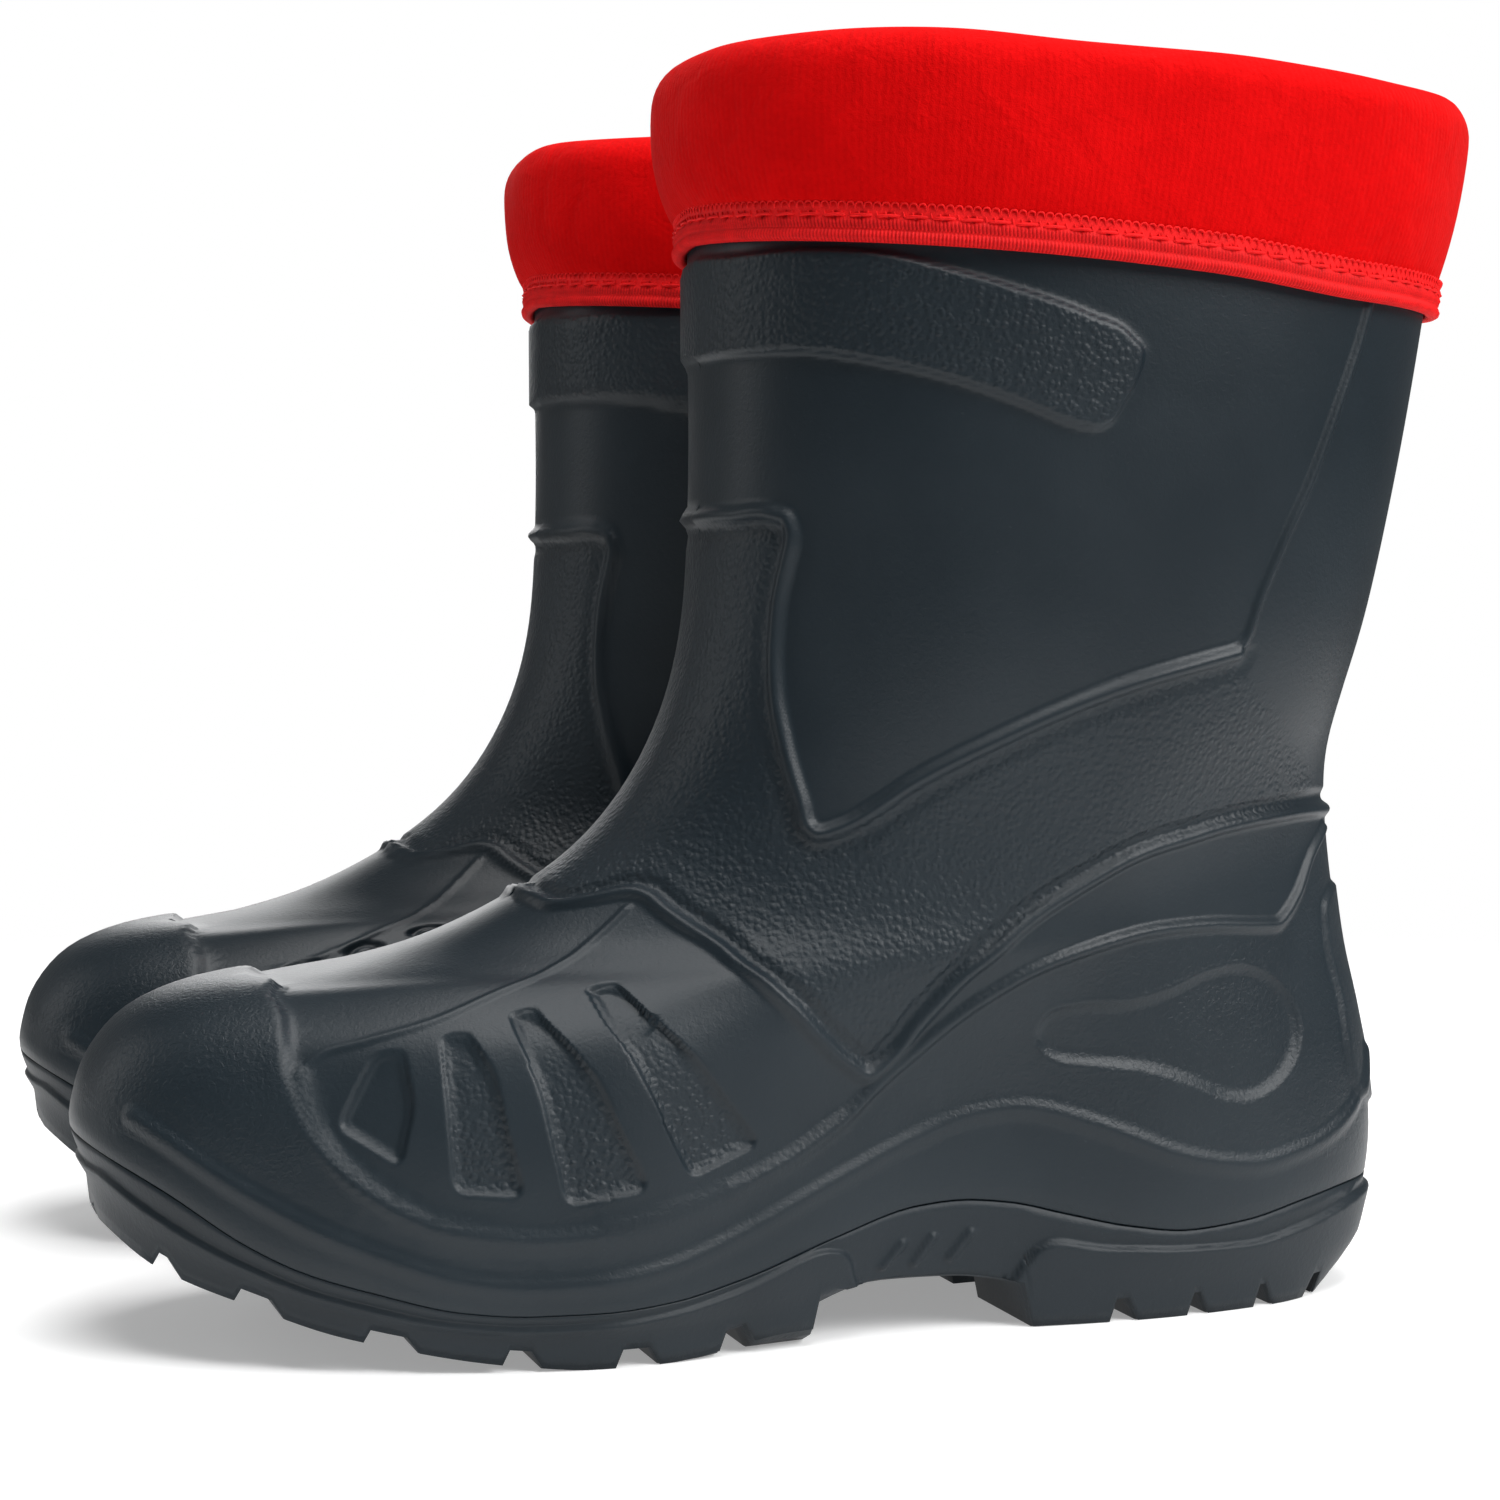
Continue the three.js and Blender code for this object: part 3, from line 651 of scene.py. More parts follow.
# ---- mesh tools ---------------------------------------------------------------------------------
def only(piece: bpy.types.Object) -> None:
    """Makes a piece the only selected object, and the active one."""
    bpy.ops.object.select_all(action="DESELECT")
    piece.select_set(True)
    bpy.context.view_layer.objects.active = piece


def added(name: str, data: Any) -> bpy.types.Object:
    """A new object in the scene for a mesh, curve, light or camera."""
    piece = bpy.data.objects.new(name, data)
    bpy.context.scene.collection.objects.link(piece)
    return piece


def coordinates(piece: bpy.types.Object) -> Array:
    """A piece's vertices, one a row."""
    flat = np.empty(len(piece.data.vertices) * 3, np.float32)
    piece.data.vertices.foreach_get("co", flat)
    return flat.reshape(-1, 3).astype(float)


def move_vertices(piece: bpy.types.Object, points: Array) -> None:
    """Puts a piece's vertices at new places."""
    piece.data.vertices.foreach_set("co", points.astype(np.float32).ravel())
    piece.data.update()


def store(piece: bpy.types.Object, name: str, values: Array) -> None:
    """Keeps one number for each vertex, for the finish to read."""
    attribute = piece.data.attributes.new(name, "FLOAT", "POINT")
    attribute.data.foreach_set("value", values.astype(np.float32))


def flat_grid(name: str, columns: int, rows: int) -> bpy.types.Object:
    """A flat grid whose x and y count its columns and rows."""
    bpy.ops.object.select_all(action="DESELECT")
    bpy.ops.mesh.primitive_grid_add(x_subdivisions=columns, y_subdivisions=rows, size=2)
    piece = bpy.context.active_object
    piece.name = piece.data.name = name
    points = coordinates(piece)
    points[:, 0] = (points[:, 0] + 1) / 2 * columns
    points[:, 1] = (points[:, 1] + 1) / 2 * rows
    move_vertices(piece, points)
    return piece


def refine(piece: bpy.types.Object, wanted: Callable[[Array, Array], Array], columns: int) -> None:
    """Divides the faces of a flat grid that are wanted, evenly on both sides of its seam.

    Args:
        piece: The flat grid.
        wanted: Tells from the x and y of face centres which faces are divided.
        columns: How many columns the grid has.
    """
    only(piece)
    bpy.ops.object.mode_set(mode="EDIT")
    bpy.ops.mesh.select_mode(type="FACE")
    bpy.ops.mesh.select_all(action="DESELECT")
    cells = bmesh.from_edit_mesh(piece.data)
    centres = np.array([face.calc_center_median()[:2] for face in cells.faces])
    chosen = wanted(centres[:, 0], centres[:, 1])
    x = centres[:, 0]
    mirror = wanted(np.where(x < 1, x + columns - 1, x - columns + 1), centres[:, 1])
    edge = (x < 1) | (x > columns - 1)
    chosen = chosen | (edge & mirror)
    for face, pick in zip(cells.faces, chosen):
        face.select_set(bool(pick))
    bmesh.update_edit_mesh(piece.data)
    bpy.ops.mesh.subdivide(number_cuts=1)
    bpy.ops.object.mode_set(mode="OBJECT")


def close_up(piece: bpy.types.Object, fill: bool) -> None:
    """Merges a wrapped grid's seams, fills its ends if asked and turns its faces outwards."""
    only(piece)
    bpy.ops.object.mode_set(mode="EDIT")
    bpy.ops.mesh.select_mode(type="VERT")
    bpy.ops.mesh.select_all(action="SELECT")
    bpy.ops.mesh.remove_doubles(threshold=1e-6)
    if fill:
        bpy.ops.mesh.fill_holes(sides=0)
    bpy.ops.object.mode_set(mode="OBJECT")
    mesh = piece.data
    mesh.calc_loop_triangles()
    corners = np.empty(len(mesh.loop_triangles) * 3, np.int32)
    mesh.loop_triangles.foreach_get("vertices", corners)
    a, b, c = coordinates(piece)[corners.reshape(-1, 3)].transpose(1, 0, 2)
    if (a * np.cross(b, c)).sum() < 0:
        bpy.ops.object.mode_set(mode="EDIT")
        bpy.ops.mesh.select_all(action="SELECT")
        bpy.ops.mesh.flip_normals()
        bpy.ops.object.mode_set(mode="OBJECT")
    bpy.ops.object.shade_smooth()


def mirrored(piece: bpy.types.Object, name: str) -> bpy.types.Object:
    """The same piece for the right boot, mirrored in the plane between the boots."""
    copy = piece.copy()
    copy.data = piece.data.copy()
    copy.name = copy.data.name = name
    bpy.context.scene.collection.objects.link(copy)
    points = coordinates(copy)
    points[:, 1] *= -1
    move_vertices(copy, points)
    only(copy)
    bpy.ops.object.mode_set(mode="EDIT")
    bpy.ops.mesh.select_all(action="SELECT")
    bpy.ops.mesh.flip_normals()
    bpy.ops.object.mode_set(mode="OBJECT")
    return copy


def triangles(piece: bpy.types.Object) -> int:
    """How many triangles a piece has."""
    piece.data.calc_loop_triangles()
    return len(piece.data.loop_triangles)


def strew(name: str, pattern: bpy.types.Object, frames: Array) -> bpy.types.Object:
    """Copies a small mesh into many places as one piece.

    Args:
        name: The new piece's name.
        pattern: The small mesh, in millimetres round its own origin; it is used up.
        frames: One 3 by 4 matrix for each copy, from the pattern's millimetres to the frame.

    Returns:
        The new piece.
    """
    base = coordinates(pattern)
    polygons = [list(p.vertices) for p in pattern.data.polygons]
    points = np.einsum("nij,vj->nvi", frames[:, :, :3], base) + frames[:, None, :, 3]
    faces = [[i + k * len(base) for i in p] for k in range(len(frames)) for p in polygons]
    mesh = bpy.data.meshes.new(name)
    mesh.from_pydata(points.reshape(-1, 3).tolist(), [], faces)
    piece = added(name, mesh)
    bpy.data.objects.remove(pattern)
    only(piece)
    bpy.ops.object.shade_smooth()
    return piece


def joined(name: str, pieces: Sequence[bpy.types.Object]) -> bpy.types.Object:
    """Several objects made one."""
    bpy.ops.object.select_all(action="DESELECT")
    for piece in pieces:
        piece.select_set(True)
    bpy.context.view_layer.objects.active = pieces[0]
    bpy.ops.object.join()
    pieces[0].name = pieces[0].data.name = name
    return pieces[0]


@dataclass(frozen=True)
class Row:
    """One row of a wrapped grid: a loop at a level, moved out and up, or laid flat at a height."""

    level: float
    out: float = 0.0
    lift: float = 0.0
    flat: Curve | None = None
    pinch: float = 0.0


@dataclass
class Wrap:
    """A grid wrapped round the boot, along a list of rows."""

    form: BootForm
    rows: Sequence[Row]
    columns: int

    def grid(self, name: str) -> bpy.types.Object:
        """The flat grid to be wrapped."""
        return flat_grid(name, self.columns, len(self.rows) - 1)

    def around(self, x: Array) -> Array:
        """The place u of a column, where both ends are the same rear line."""
        u = np.asarray(x) / self.columns * 2 - 1
        return np.where(u <= -1 + 1e-6, 1.0, u)

    def across(self, y: Array, trait: str) -> Array:
        """A trait of the rows at a place between them."""
        values = [getattr(row, trait) for row in self.rows]
        return np.interp(y, np.arange(len(values)), values)

    def points(self, x: Array, y: Array, extra: Any = 0.0) -> Array:
        """Boot coordinates of the grid's places, extra millimetres further out."""
        u = self.around(x)
        points = self.form.place(u, self.across(y, "level"), self.across(y, "out") + extra,
                                 self.across(y, "lift"))
        pinch = self.across(y, "pinch")
        middle = middle_line(points[:, 0])
        points[:, 1] = mix(points[:, 1], middle, pinch)
        index = np.rint(y).astype(int)
        for i, row in enumerate(self.rows):
            if row.flat is not None:
                here = index == i
                points[here, 2] = row.flat(points[here, 0])
        return points


# ---- finishes -----------------------------------------------------------------------------------
class Value:
    """A number, colour or vector that runs through a material's nodes."""

    def __init__(self, nodes: "Nodes", socket: bpy.types.NodeSocket) -> None:
        """Wraps a node's output."""
        self.nodes = nodes
        self.socket = socket

    def _math(self, operation: str, first: Any, second: Any) -> "Value":
        """A Math node on two numbers."""
        return self.nodes.add("ShaderNodeMath", {"operation": operation}, {0: first, 1: second})

    def __add__(self, other: Any) -> "Value":
        """The sum."""
        return self._math("ADD", self, other)

    def __sub__(self, other: Any) -> "Value":
        """The difference."""
        return self._math("SUBTRACT", self, other)

    def __rsub__(self, other: Any) -> "Value":
        """The difference, from a plain number."""
        return self._math("SUBTRACT", other, self)

    def __mul__(self, other: Any) -> "Value":
        """The product."""
        return self._math("MULTIPLY", self, other)

    __radd__ = __add__
    __rmul__ = __mul__

    def sine(self) -> "Value":
        """The sine."""
        return self.nodes.add("ShaderNodeMath", {"operation": "SINE"}, {0: self})


class Nodes:
    """A new material and the nodes in it."""

    def __init__(self, name: str) -> None:
        """Starts a material with nothing but its output."""
        self.material = bpy.data.materials.new(name)
        self.material.use_nodes = True
        self.tree = self.material.node_tree
        self.tree.nodes.clear()
        self.output = self.tree.nodes.new("ShaderNodeOutputMaterial")

    def add(self, kind: str, settings: dict[str, Any] | None = None,
            inputs: dict[Any, Any] | None = None, output: Any = 0) -> Value:
        """Adds a node.

        Args:
            kind: The node's type.
            settings: The node's own properties; stops are a ramp's (place, colour) pairs.
            inputs: Values or links for its inputs, by name or number.
            output: Which output is wanted.

        Returns:
            The wanted output.
        """
        node = self.tree.nodes.new(kind)
        for name, value in (settings or {}).items():
            if name == "stops":
                ramp = node.color_ramp
                while len(ramp.elements) < len(value):
                    ramp.elements.new(0.5)
                for element, (place, colour) in zip(ramp.elements, value):
                    element.position, element.color = place, colour
            else:
                setattr(node, name, value)
        for name, value in (inputs or {}).items():
            if isinstance(value, Value):
                self.tree.links.new(value.socket, node.inputs[name])
            else:
                node.inputs[name].default_value = value
        return Value(self, node.outputs[output])

    def place(self) -> Value:
        """Object coordinates."""
        return self.add("ShaderNodeTexCoord", output="Object")

    def attribute(self, name: str) -> Value:
        """A number kept on the mesh."""
        return self.add("ShaderNodeAttribute", {"attribute_name": name}, output="Fac")

    def noise(self, size: float, detail: float = 2.0, distortion: float = 0.0) -> Value:
        """Soft noise whose blobs are about size metres wide."""
        return self.add("ShaderNodeTexNoise", None, {
            "Vector": self.place(), "Scale": 1 / size, "Detail": detail,
            "Distortion": distortion}, "Fac")

    def cells(self, size: float, at: Value) -> Value:
        """Rounded cells about size metres wide, 0 in their middles, read at a place."""
        return self.add("ShaderNodeTexVoronoi", {"feature": "SMOOTH_F1"}, {
            "Vector": at, "Scale": 1 / size, "Smoothness": 0.35}, "Distance")

    def ramp(self, value: Value, low: float, high: float) -> Value:
        """0 below low, 1 above high."""
        return self.add("ShaderNodeMapRange", {"interpolation_type": "SMOOTHSTEP"}, {
            "Value": value, "From Min": low, "From Max": high})

    def blend(self, share: Any, first: Any, second: Any) -> Value:
        """A colour between two."""
        return self.add("ShaderNodeMix", {"data_type": "RGBA"}, {0: share, 6: first, 7: second}, 2)

    def bump(self, height: Value, depth: float, under: Value | None = None) -> Value:
        """A bumped normal, depth metres deep."""
        inputs: dict[Any, Any] = {"Height": height, "Distance": depth, "Strength": 1.0}
        if under is not None:
            inputs["Normal"] = under
        return self.add("ShaderNodeBump", None, inputs, "Normal")

    def finish(self, inputs: dict[str, Any]) -> bpy.types.Material:
        """Ends the material with one Principled shader."""
        shader = self.add("ShaderNodeBsdfPrincipled", None, inputs, "BSDF")
        self.tree.links.new(shader.socket, self.output.inputs["Surface"])
        return self.material


Colour = tuple[float, float, float, float]


def grey(level: float) -> Colour:
    """A neutral colour."""
    return (level, level, level, 1.0)


@dataclass(frozen=True)
class MouldedFoam:
    """Closed-cell foam with a satin skin, smooth in some panels and pebbled in others."""

    name: str
    dark: Colour
    light: Colour
    roughness: float
    pebble: float = 1.05 * MM
    pebble_depth: float = 0.13 * MM

    def build(self) -> bpy.types.Material:
        """Makes the material."""
        nodes = Nodes(self.name)
        pebbled, grained = nodes.attribute("pebble"), nodes.attribute("grain")
        warp = nodes.add("ShaderNodeVectorMath", {"operation": "MULTIPLY_ADD"}, {
            0: nodes.add("ShaderNodeTexNoise", None, {
                "Vector": nodes.place(), "Scale": 1 / (2.2 * MM), "Detail": 1.0}, "Color"),
            1: (0.45 * MM,) * 3, 2: nodes.place()})
        lumps = nodes.ramp(nodes.cells(self.pebble, warp), 0.75, 0.05)
        wrinkles = nodes.noise(0.8 * MM, 3.0, distortion=0.6)
        skin = nodes.noise(0.35 * MM, 2.0)
        clouds = nodes.noise(28 * MM, 3.0)
        coarse = nodes.bump((lumps + wrinkles * 0.3) * pebbled, self.pebble_depth)
        fine = nodes.bump(wrinkles * (grained * 0.7 + 0.3), 0.15 * MM, coarse)
        normal = nodes.bump(skin, 0.012 * MM, fine)
        colour = nodes.blend(nodes.ramp(clouds, 0.3, 0.7), self.dark, self.light)
        speck = nodes.ramp(nodes.noise(0.9 * MM, 1.0), 0.76, 0.82)
        colour = nodes.blend(speck * 0.15, colour, (0.05, 0.06, 0.07, 1))
        rough = self.roughness + (clouds - 0.5) * 0.10 + pebbled * 0.05
        return nodes.finish({"Base Color": colour, "Roughness": rough, "Normal": normal,
                             "Specular IOR Level": 0.33})


@dataclass(frozen=True)
class Fleece:
    """Short dense velour with a mottled nap and faint vertical knit rows."""

    name: str
    deep: Colour
    bright: Colour
    rows: float = 330.0
    sheen: float = 0.06

    def build(self) -> bpy.types.Material:
        """Makes the material."""
        nodes = Nodes(self.name)
        uv = nodes.add("ShaderNodeUVMap", {"uv_map": "UVMap"})
        across = nodes.add("ShaderNodeSeparateXYZ", None, {0: uv}, "X")
        knit = (across * (self.rows * 2 * math.pi)).sine() * 0.5 + 0.5
        nap = nodes.noise(7 * MM, 4.0, distortion=0.8)
        tufts = nodes.noise(0.8 * MM, 3.0)
        fibre = nodes.noise(0.22 * MM, 2.0)
        tone = nodes.ramp(nap * 0.5 + tufts * 0.42 + knit * 0.08, 0.25, 0.75)
        colour = nodes.blend(tone, self.deep, self.bright)
        soft = nodes.bump(nap, 0.6 * MM)
        rowed = nodes.bump(knit * 0.25 + tufts, 0.12 * MM, soft)
        normal = nodes.bump(fibre, 0.10 * MM, rowed)
        return nodes.finish({
            "Base Color": colour, "Roughness": 0.92 - tone * 0.08, "Normal": normal,
            "Sheen Weight": self.sheen, "Sheen Roughness": 0.4, "Sheen Tint": (1.0, 0.35, 0.32, 1),
            "Specular IOR Level": 0.05})


@dataclass(frozen=True)
class Thread:
    """Polyester thread or binding, with a slight gloss and fine twisted fibres."""

    name: str
    deep: Colour
    bright: Colour

    def build(self) -> bpy.types.Material:
        """Makes the material."""
        nodes = Nodes(self.name)
        fibre = nodes.noise(0.18 * MM, 2.0)
        patches = nodes.noise(3 * MM, 2.0)
        tone = nodes.ramp(fibre * 0.5 + patches * 0.5, 0.35, 0.65)
        colour = nodes.blend(tone, self.deep, self.bright)
        # painted shade: the binding's colour is darkened towards deep red in the valleys between its
        # ribs and in the stitch holes, where the mesh stores the mask
        colour = nodes.blend(nodes.attribute("valley"), colour, (0.40, 0.001, 0.002, 1))
        return nodes.finish({
            "Base Color": colour, "Roughness": 0.6 + patches * 0.2,
            "Normal": nodes.bump(fibre, 0.05 * MM), "Specular IOR Level": 0.22})


@dataclass(frozen=True)
class Felt:
    """Dense needled felt."""

    name: str
    deep: Colour
    bright: Colour

    def build(self) -> bpy.types.Material:
        """Makes the material."""
        nodes = Nodes(self.name)
        tangle = nodes.noise(0.7 * MM, 5.0, distortion=2.0)
        clouds = nodes.noise(9 * MM, 3.0)
        tone = nodes.ramp(tangle * 0.6 + clouds * 0.4, 0.35, 0.65)
        colour = nodes.blend(tone, self.deep, self.bright)
        return nodes.finish({
            "Base Color": colour, "Roughness": 0.97, "Normal": nodes.bump(tangle, 0.3 * MM),
            "Sheen Weight": 0.25, "Specular IOR Level": 0.1})


@dataclass(frozen=True)
class PaleFloor:
    """The plain pale floor that the boots stand on, which fades out into the surround."""

    name: str = "pale_sweep"

    def build(self) -> bpy.types.Material:
        """Makes the material."""
        nodes = Nodes(self.name)
        away = nodes.add("ShaderNodeVectorMath", {"operation": "LENGTH"},
                         {0: nodes.place()}, "Value")
        return nodes.finish({"Base Color": grey(0.82), "Roughness": 0.9,
                             "Emission Color": grey(1.0), "Emission Strength": 0.30,
                             "Alpha": nodes.ramp(away, 0.62, 0.30), "Specular IOR Level": 0.1})


class Finishes:
    """All the finishes of the pair, made once."""

    def __init__(self) -> None:
        """Builds every material."""
        self.sole = MouldedFoam("navy_sole_foam", (0.0056, 0.0108, 0.0152, 1),
                                (0.0082, 0.0142, 0.0195, 1), 0.50).build()
        self.foam = MouldedFoam("navy_foam", (0.0062, 0.0122, 0.0172, 1),
                                (0.0095, 0.0164, 0.0220, 1), 0.43).build()
        self.fleece = Fleece("red_velour", (0.58, 0.0010, 0.0015, 1),
                             (0.70, 0.0015, 0.0020, 1)).build()
        self.binding = Thread("red_binding", (0.72, 0.004, 0.005, 1),
                              (0.92, 0.009, 0.010, 1)).build()
        self.thread = Thread("red_thread", (0.74, 0.004, 0.005, 1), (0.95, 0.012, 0.013, 1)).build()
        self.felt = Felt("dark_red_felt", (0.16, 0.004, 0.004, 1), (0.32, 0.010, 0.010, 1)).build()


# ---- sub-assemblies -----------------------------------------------------------------------------
def deliver(piece: bpy.types.Object, finish: bpy.types.Material, part: str,
            body: str) -> dict[str, bpy.types.Object]:
    """Gives a left piece its finish, mirrors it, and lets both ride and stand for their nodes.

    Args:
        piece: The left boot's piece.
        finish: Its material.
        part: The node's name without its left_ or right_.
        body: The body's name without its left_ or right_.

    Returns:
        The two pieces, by side.
    """
    piece.data.materials.clear()
    piece.data.materials.append(finish)
    pair = {LEFT: piece, RIGHT: mirrored(piece, f"right_{part}_look")}
    for side, each in pair.items():
        each.name = f"{side}_{part}_look"
        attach(each, f"{side}_{body}")
        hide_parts(f"{side}_{part}")
    LOG.info("%s: %d triangles", part, triangles(piece))
    return pair


@dataclass
class UpperShell:
    """The one moulded shell: vamp, toe cap, heel counter and shaft, with its own floor."""

    form: BootForm
    columns: int = 208
    outer_rows: int = 86
    reaches: tuple[float, ...] = (1.8, 1.0, 0.8)

    def rows(self) -> list[Row]:
        """The rows from the middle of the underside, up the outside and down the inside."""
        skin = self.form.even_levels(PARTING + 0.0036, 0.996, self.outer_rows)
        lining = np.linspace(0.985, 0.2, 15)
        return [
            Row(PARTING, -8, 0, core_top, 0.94), Row(PARTING, -8, 0, core_top, 0.5),
            Row(PARTING, -8, 0, core_top), Row(PARTING + 0.0004, -0.5), Row(PARTING + 0.0012, -0.1),
            *[Row(v) for v in skin],
            Row(0.998, -0.3), Row(1, -1.0), Row(1, -WALL + 1.0), Row(0.998, -WALL + 0.3),
            *[Row(v, -WALL) for v in lining],
            Row(0.16, -WALL - 1, 0, lambda s: floor_top(s) + 5),
            Row(0.16, -WALL - 3, 0, floor_top), Row(0.16, -WALL - 3, 0, floor_top, 0.5),
            Row(0.16, -WALL - 3, 0, floor_top, 0.94),
        ]

    def build(self, finish: bpy.types.Material) -> None:
        """Makes the shell of both boots."""
        rows = self.rows()
        relief = Relief(self.form, shell_features())
        wrap = Wrap(self.form, rows, self.columns)
        piece = wrap.grid("left_upper_shell_look")
        first = 5

        def outside(y: Array) -> Array:
            """Whether a row lies on the moulded outside."""
            return (y > first) & (y < first + self.outer_rows - 1)

        for sharp, reach in enumerate(self.reaches, 1):
            def wanted(x: Array, y: Array, sharp: int = sharp, limit: float = reach) -> Array:
                """Whether a face lies near a feature's edge."""
                skin = np.flatnonzero(outside(y))
                picked = np.zeros(len(x), bool)
                near = relief.nearness(wrap.around(x[skin]), wrap.across(y[skin], "level"), sharp)
                picked[skin] = near < limit
                return picked

            refine(piece, wanted, self.columns)
        flat = coordinates(piece)
        x, y = flat[:, 0], flat[:, 1]
        u, v = wrap.around(x), wrap.across(y, "level")
        skin = (y >= first) & (y <= first + self.outer_rows - 1)
        height = np.zeros(len(x))
        forward = self.form.place(u[skin], v[skin])[:, 0]
        height[skin] = relief.height(u[skin], v[skin]) - 1.5 * smooth((forward - 164) / 34)
        move_vertices(piece, self.form.in_frame(wrap.points(x, y, height)))
        self._mark_grain(piece, relief, u, v, skin)
        close_up(piece, fill=True)
        deliver(piece, finish, "upper_shell", "boot")

    def _mark_grain(self, piece: bpy.types.Object, relief: Relief, u: Array, v: Array,
                    skin: Array) -> None:
        """Keeps on the mesh where the skin is pebbled and where it is finely grained."""
        u, v = np.where(skin, u, 0.5), np.where(skin, v, 0.88)
        pebble = 0.9 * relief.zone(BAND + BAND_CLOSING, 1.4, u, v)
        pebble = np.maximum(pebble, 0.75 * relief.zone(ANKLE_ZONE, 2.5, u, v))
        places = self.form.place(u, v)
        for side in (OUTER, INNER):
            for points in (WINDOW_RIM, WINDOW_REAR[2:9], ANKLE_LINE[7:10]):
                line = np.array(points)
                distance, _ = near_line(places, self.form.place(line[:, 0] * side, line[:, 1]), 3.0)
                pebble = np.maximum(pebble, 0.22 * smooth((2.6 - distance) / 1.5))
        for outline in PETALS[1:]:
            low = min(level for _, level in outline)
            share = mix(1.0, 0.25, smooth((v - low) / 0.12))
            pebble = np.maximum(pebble, 1.1 * share * relief.zone(outline, 0.9, u, v, OUTER))
        toe = relief.zone(TOE_ZONE, 3.0, u, v)
        grain = np.maximum.reduce([toe, 0.6 * relief.zone(HEEL_ZONE, 2.5, u, v),
                                   0.2 * relief.zone(ANKLE_ZONE, 2.5, u, v)])
        store(piece, "pebble", np.where(skin, pebble, 0))
        store(piece, "grain", np.where(skin, grain + 0.06, 0.06))


MIDDLE_SHARES = (0.14, 0.10, 0.08, 0.05, 0.02)      # of the half width, for the rows in the middle


@dataclass
class Outsole:
    """The lugged sole unit below the wavy parting line."""

    form: BootForm
    front_flank: float = 1.7
    rear_flank: float = 1.1
    gap_level: float = 0.4
    spacing: float = 2.4
    side_rows: int = 9

    def features(self) -> list[Feature]:
        """The raised side panels and the ribs under the arch."""
        fore = ((0, 0.036), (0.1, 0.033), (0.2, 0.030), (0.3, 0.032), (0.4, 0.044), (0.46, 0.055),
                (0.530, 0.057), (0.538, 0.048), (0.546, 0.01), (0.552, -0.08))
        heel = ((0.655, -0.08), (0.655, 0.0), (0.664, 0.024), (0.675, 0.040), (0.713, 0.045),
                (0.767, 0.049), (0.83, 0.043), (0.882, 0.049), (0.917, 0.056), (1.0, 0.058))
        ribs = (((0.566, 0.014), (0.580, 0.036)), ((0.588, 0.014), (0.600, 0.038)),
                ((0.612, 0.016), (0.625, 0.040)))
        return [
            Feature(Kind.PANEL, fore, 0.9, 0.8, closing=((-0.06, -0.08), (-0.06, 0.036))),
            Feature(Kind.PANEL, heel, 1.2, 0.8, closing=((1.06, 0.058), (1.06, -0.08))),
            *[Feature(Kind.RIDGE, rib, 0.8, 1.1) for rib in ribs],
        ]

    def _columns(self) -> Array:
        """The columns' places u, with one at each foot and top of every lug's flanks."""
        sides = []
        for side in (INNER, OUTER):
            u = np.linspace(0, 1, 801)
            s = self.form.place(u * side, np.zeros_like(u))[:, 0]
            marks = [0.0, 1.0]
            for rear, front in LUGS:
                for place in (rear - self.rear_flank, rear, front, front + self.front_flank):
                    marks.append(float(np.interp(place, s[::-1], u[::-1])))
            marks = sorted(marks)
            filled: list[float] = []
            for low, high in zip(marks, marks[1:]):
                count = max(1, round((high - low) * SIDE_LENGTH / self.spacing))
                filled.extend(np.linspace(low, high, count, endpoint=False))
            sides.append(np.array(filled + [1.0]) * side)
        return np.concatenate([sides[0][::-1], sides[1][1:]])

    def _bottom(self, s: Array) -> Array:
        """How far down the sole reaches, 0 in the gaps and 1 on the lugs, at the places s."""
        share = np.zeros_like(s)
        for rear, front in LUGS:
            rise = np.clip((s - rear + self.rear_flank) / self.rear_flank, 0, 1)
            fall = np.clip((front + self.front_flank - s) / self.front_flank, 0, 1)
            share = np.maximum(share, np.minimum(rise, fall))
        treaded = np.maximum(smooth((s - 110) / 4), 0.6 * smooth((77 - s) / 4))
        return np.maximum(share, self.gap_level * treaded)

    def _waist_rise(self, s: Array) -> Array:
        """How far the lugs' outer edges rise towards the waist, in millimetres."""
        return 2.6 * smooth((138 - s) / 22) * smooth((s - 108) / 3)

    def build(self, finish: bpy.types.Material) -> None:
        """Makes the outsole of both boots."""
        columns = self._columns()
        count = len(columns) - 1
        insets = (0.5, 1.4, 6.0, 12.0, 18.0, 24.0)
        top = 4
        rows = top + self.side_rows + len(insets) + len(MIDDLE_SHARES)
        piece = flat_grid("left_outsole_look", count, rows)
        relief = Relief(self.form, self.features())

        def level(x: Array, y: Array) -> tuple[Array, Array, Array]:
            """The column's u, its place s at the bottom, and the share down the side."""
            u = np.interp(x, np.arange(count + 1), columns)
            u = np.where(u <= -1 + 1e-6, 1.0, u)
            s = self.form.place(u, np.zeros_like(u))[:, 0]
            return u, s, np.clip((y - top) / self.side_rows, 0, 1)

        def depth(x: Array, y: Array) -> tuple[Array, Array]:
            """The place (u, v) of a grid place on the side, v below 0 under the core."""
            u, s, share = level(x, y)
            foot = underside_z(s) + (tread_z(s) - underside_z(s)) * self._bottom(s)
            foot = foot + self._waist_rise(s)
            low = (foot - underside_z(s)) / SKIN_HEIGHT
            return u, mix(PARTING - 0.001, low, share)

        def wanted(x: Array, y: Array) -> Array:
            """Whether a face lies near a panel's edge."""
            u, v = depth(x, y)
            side = (y > top) & (y < top + self.side_rows)
            return side & (relief.nearness(u, v) < 0.9)

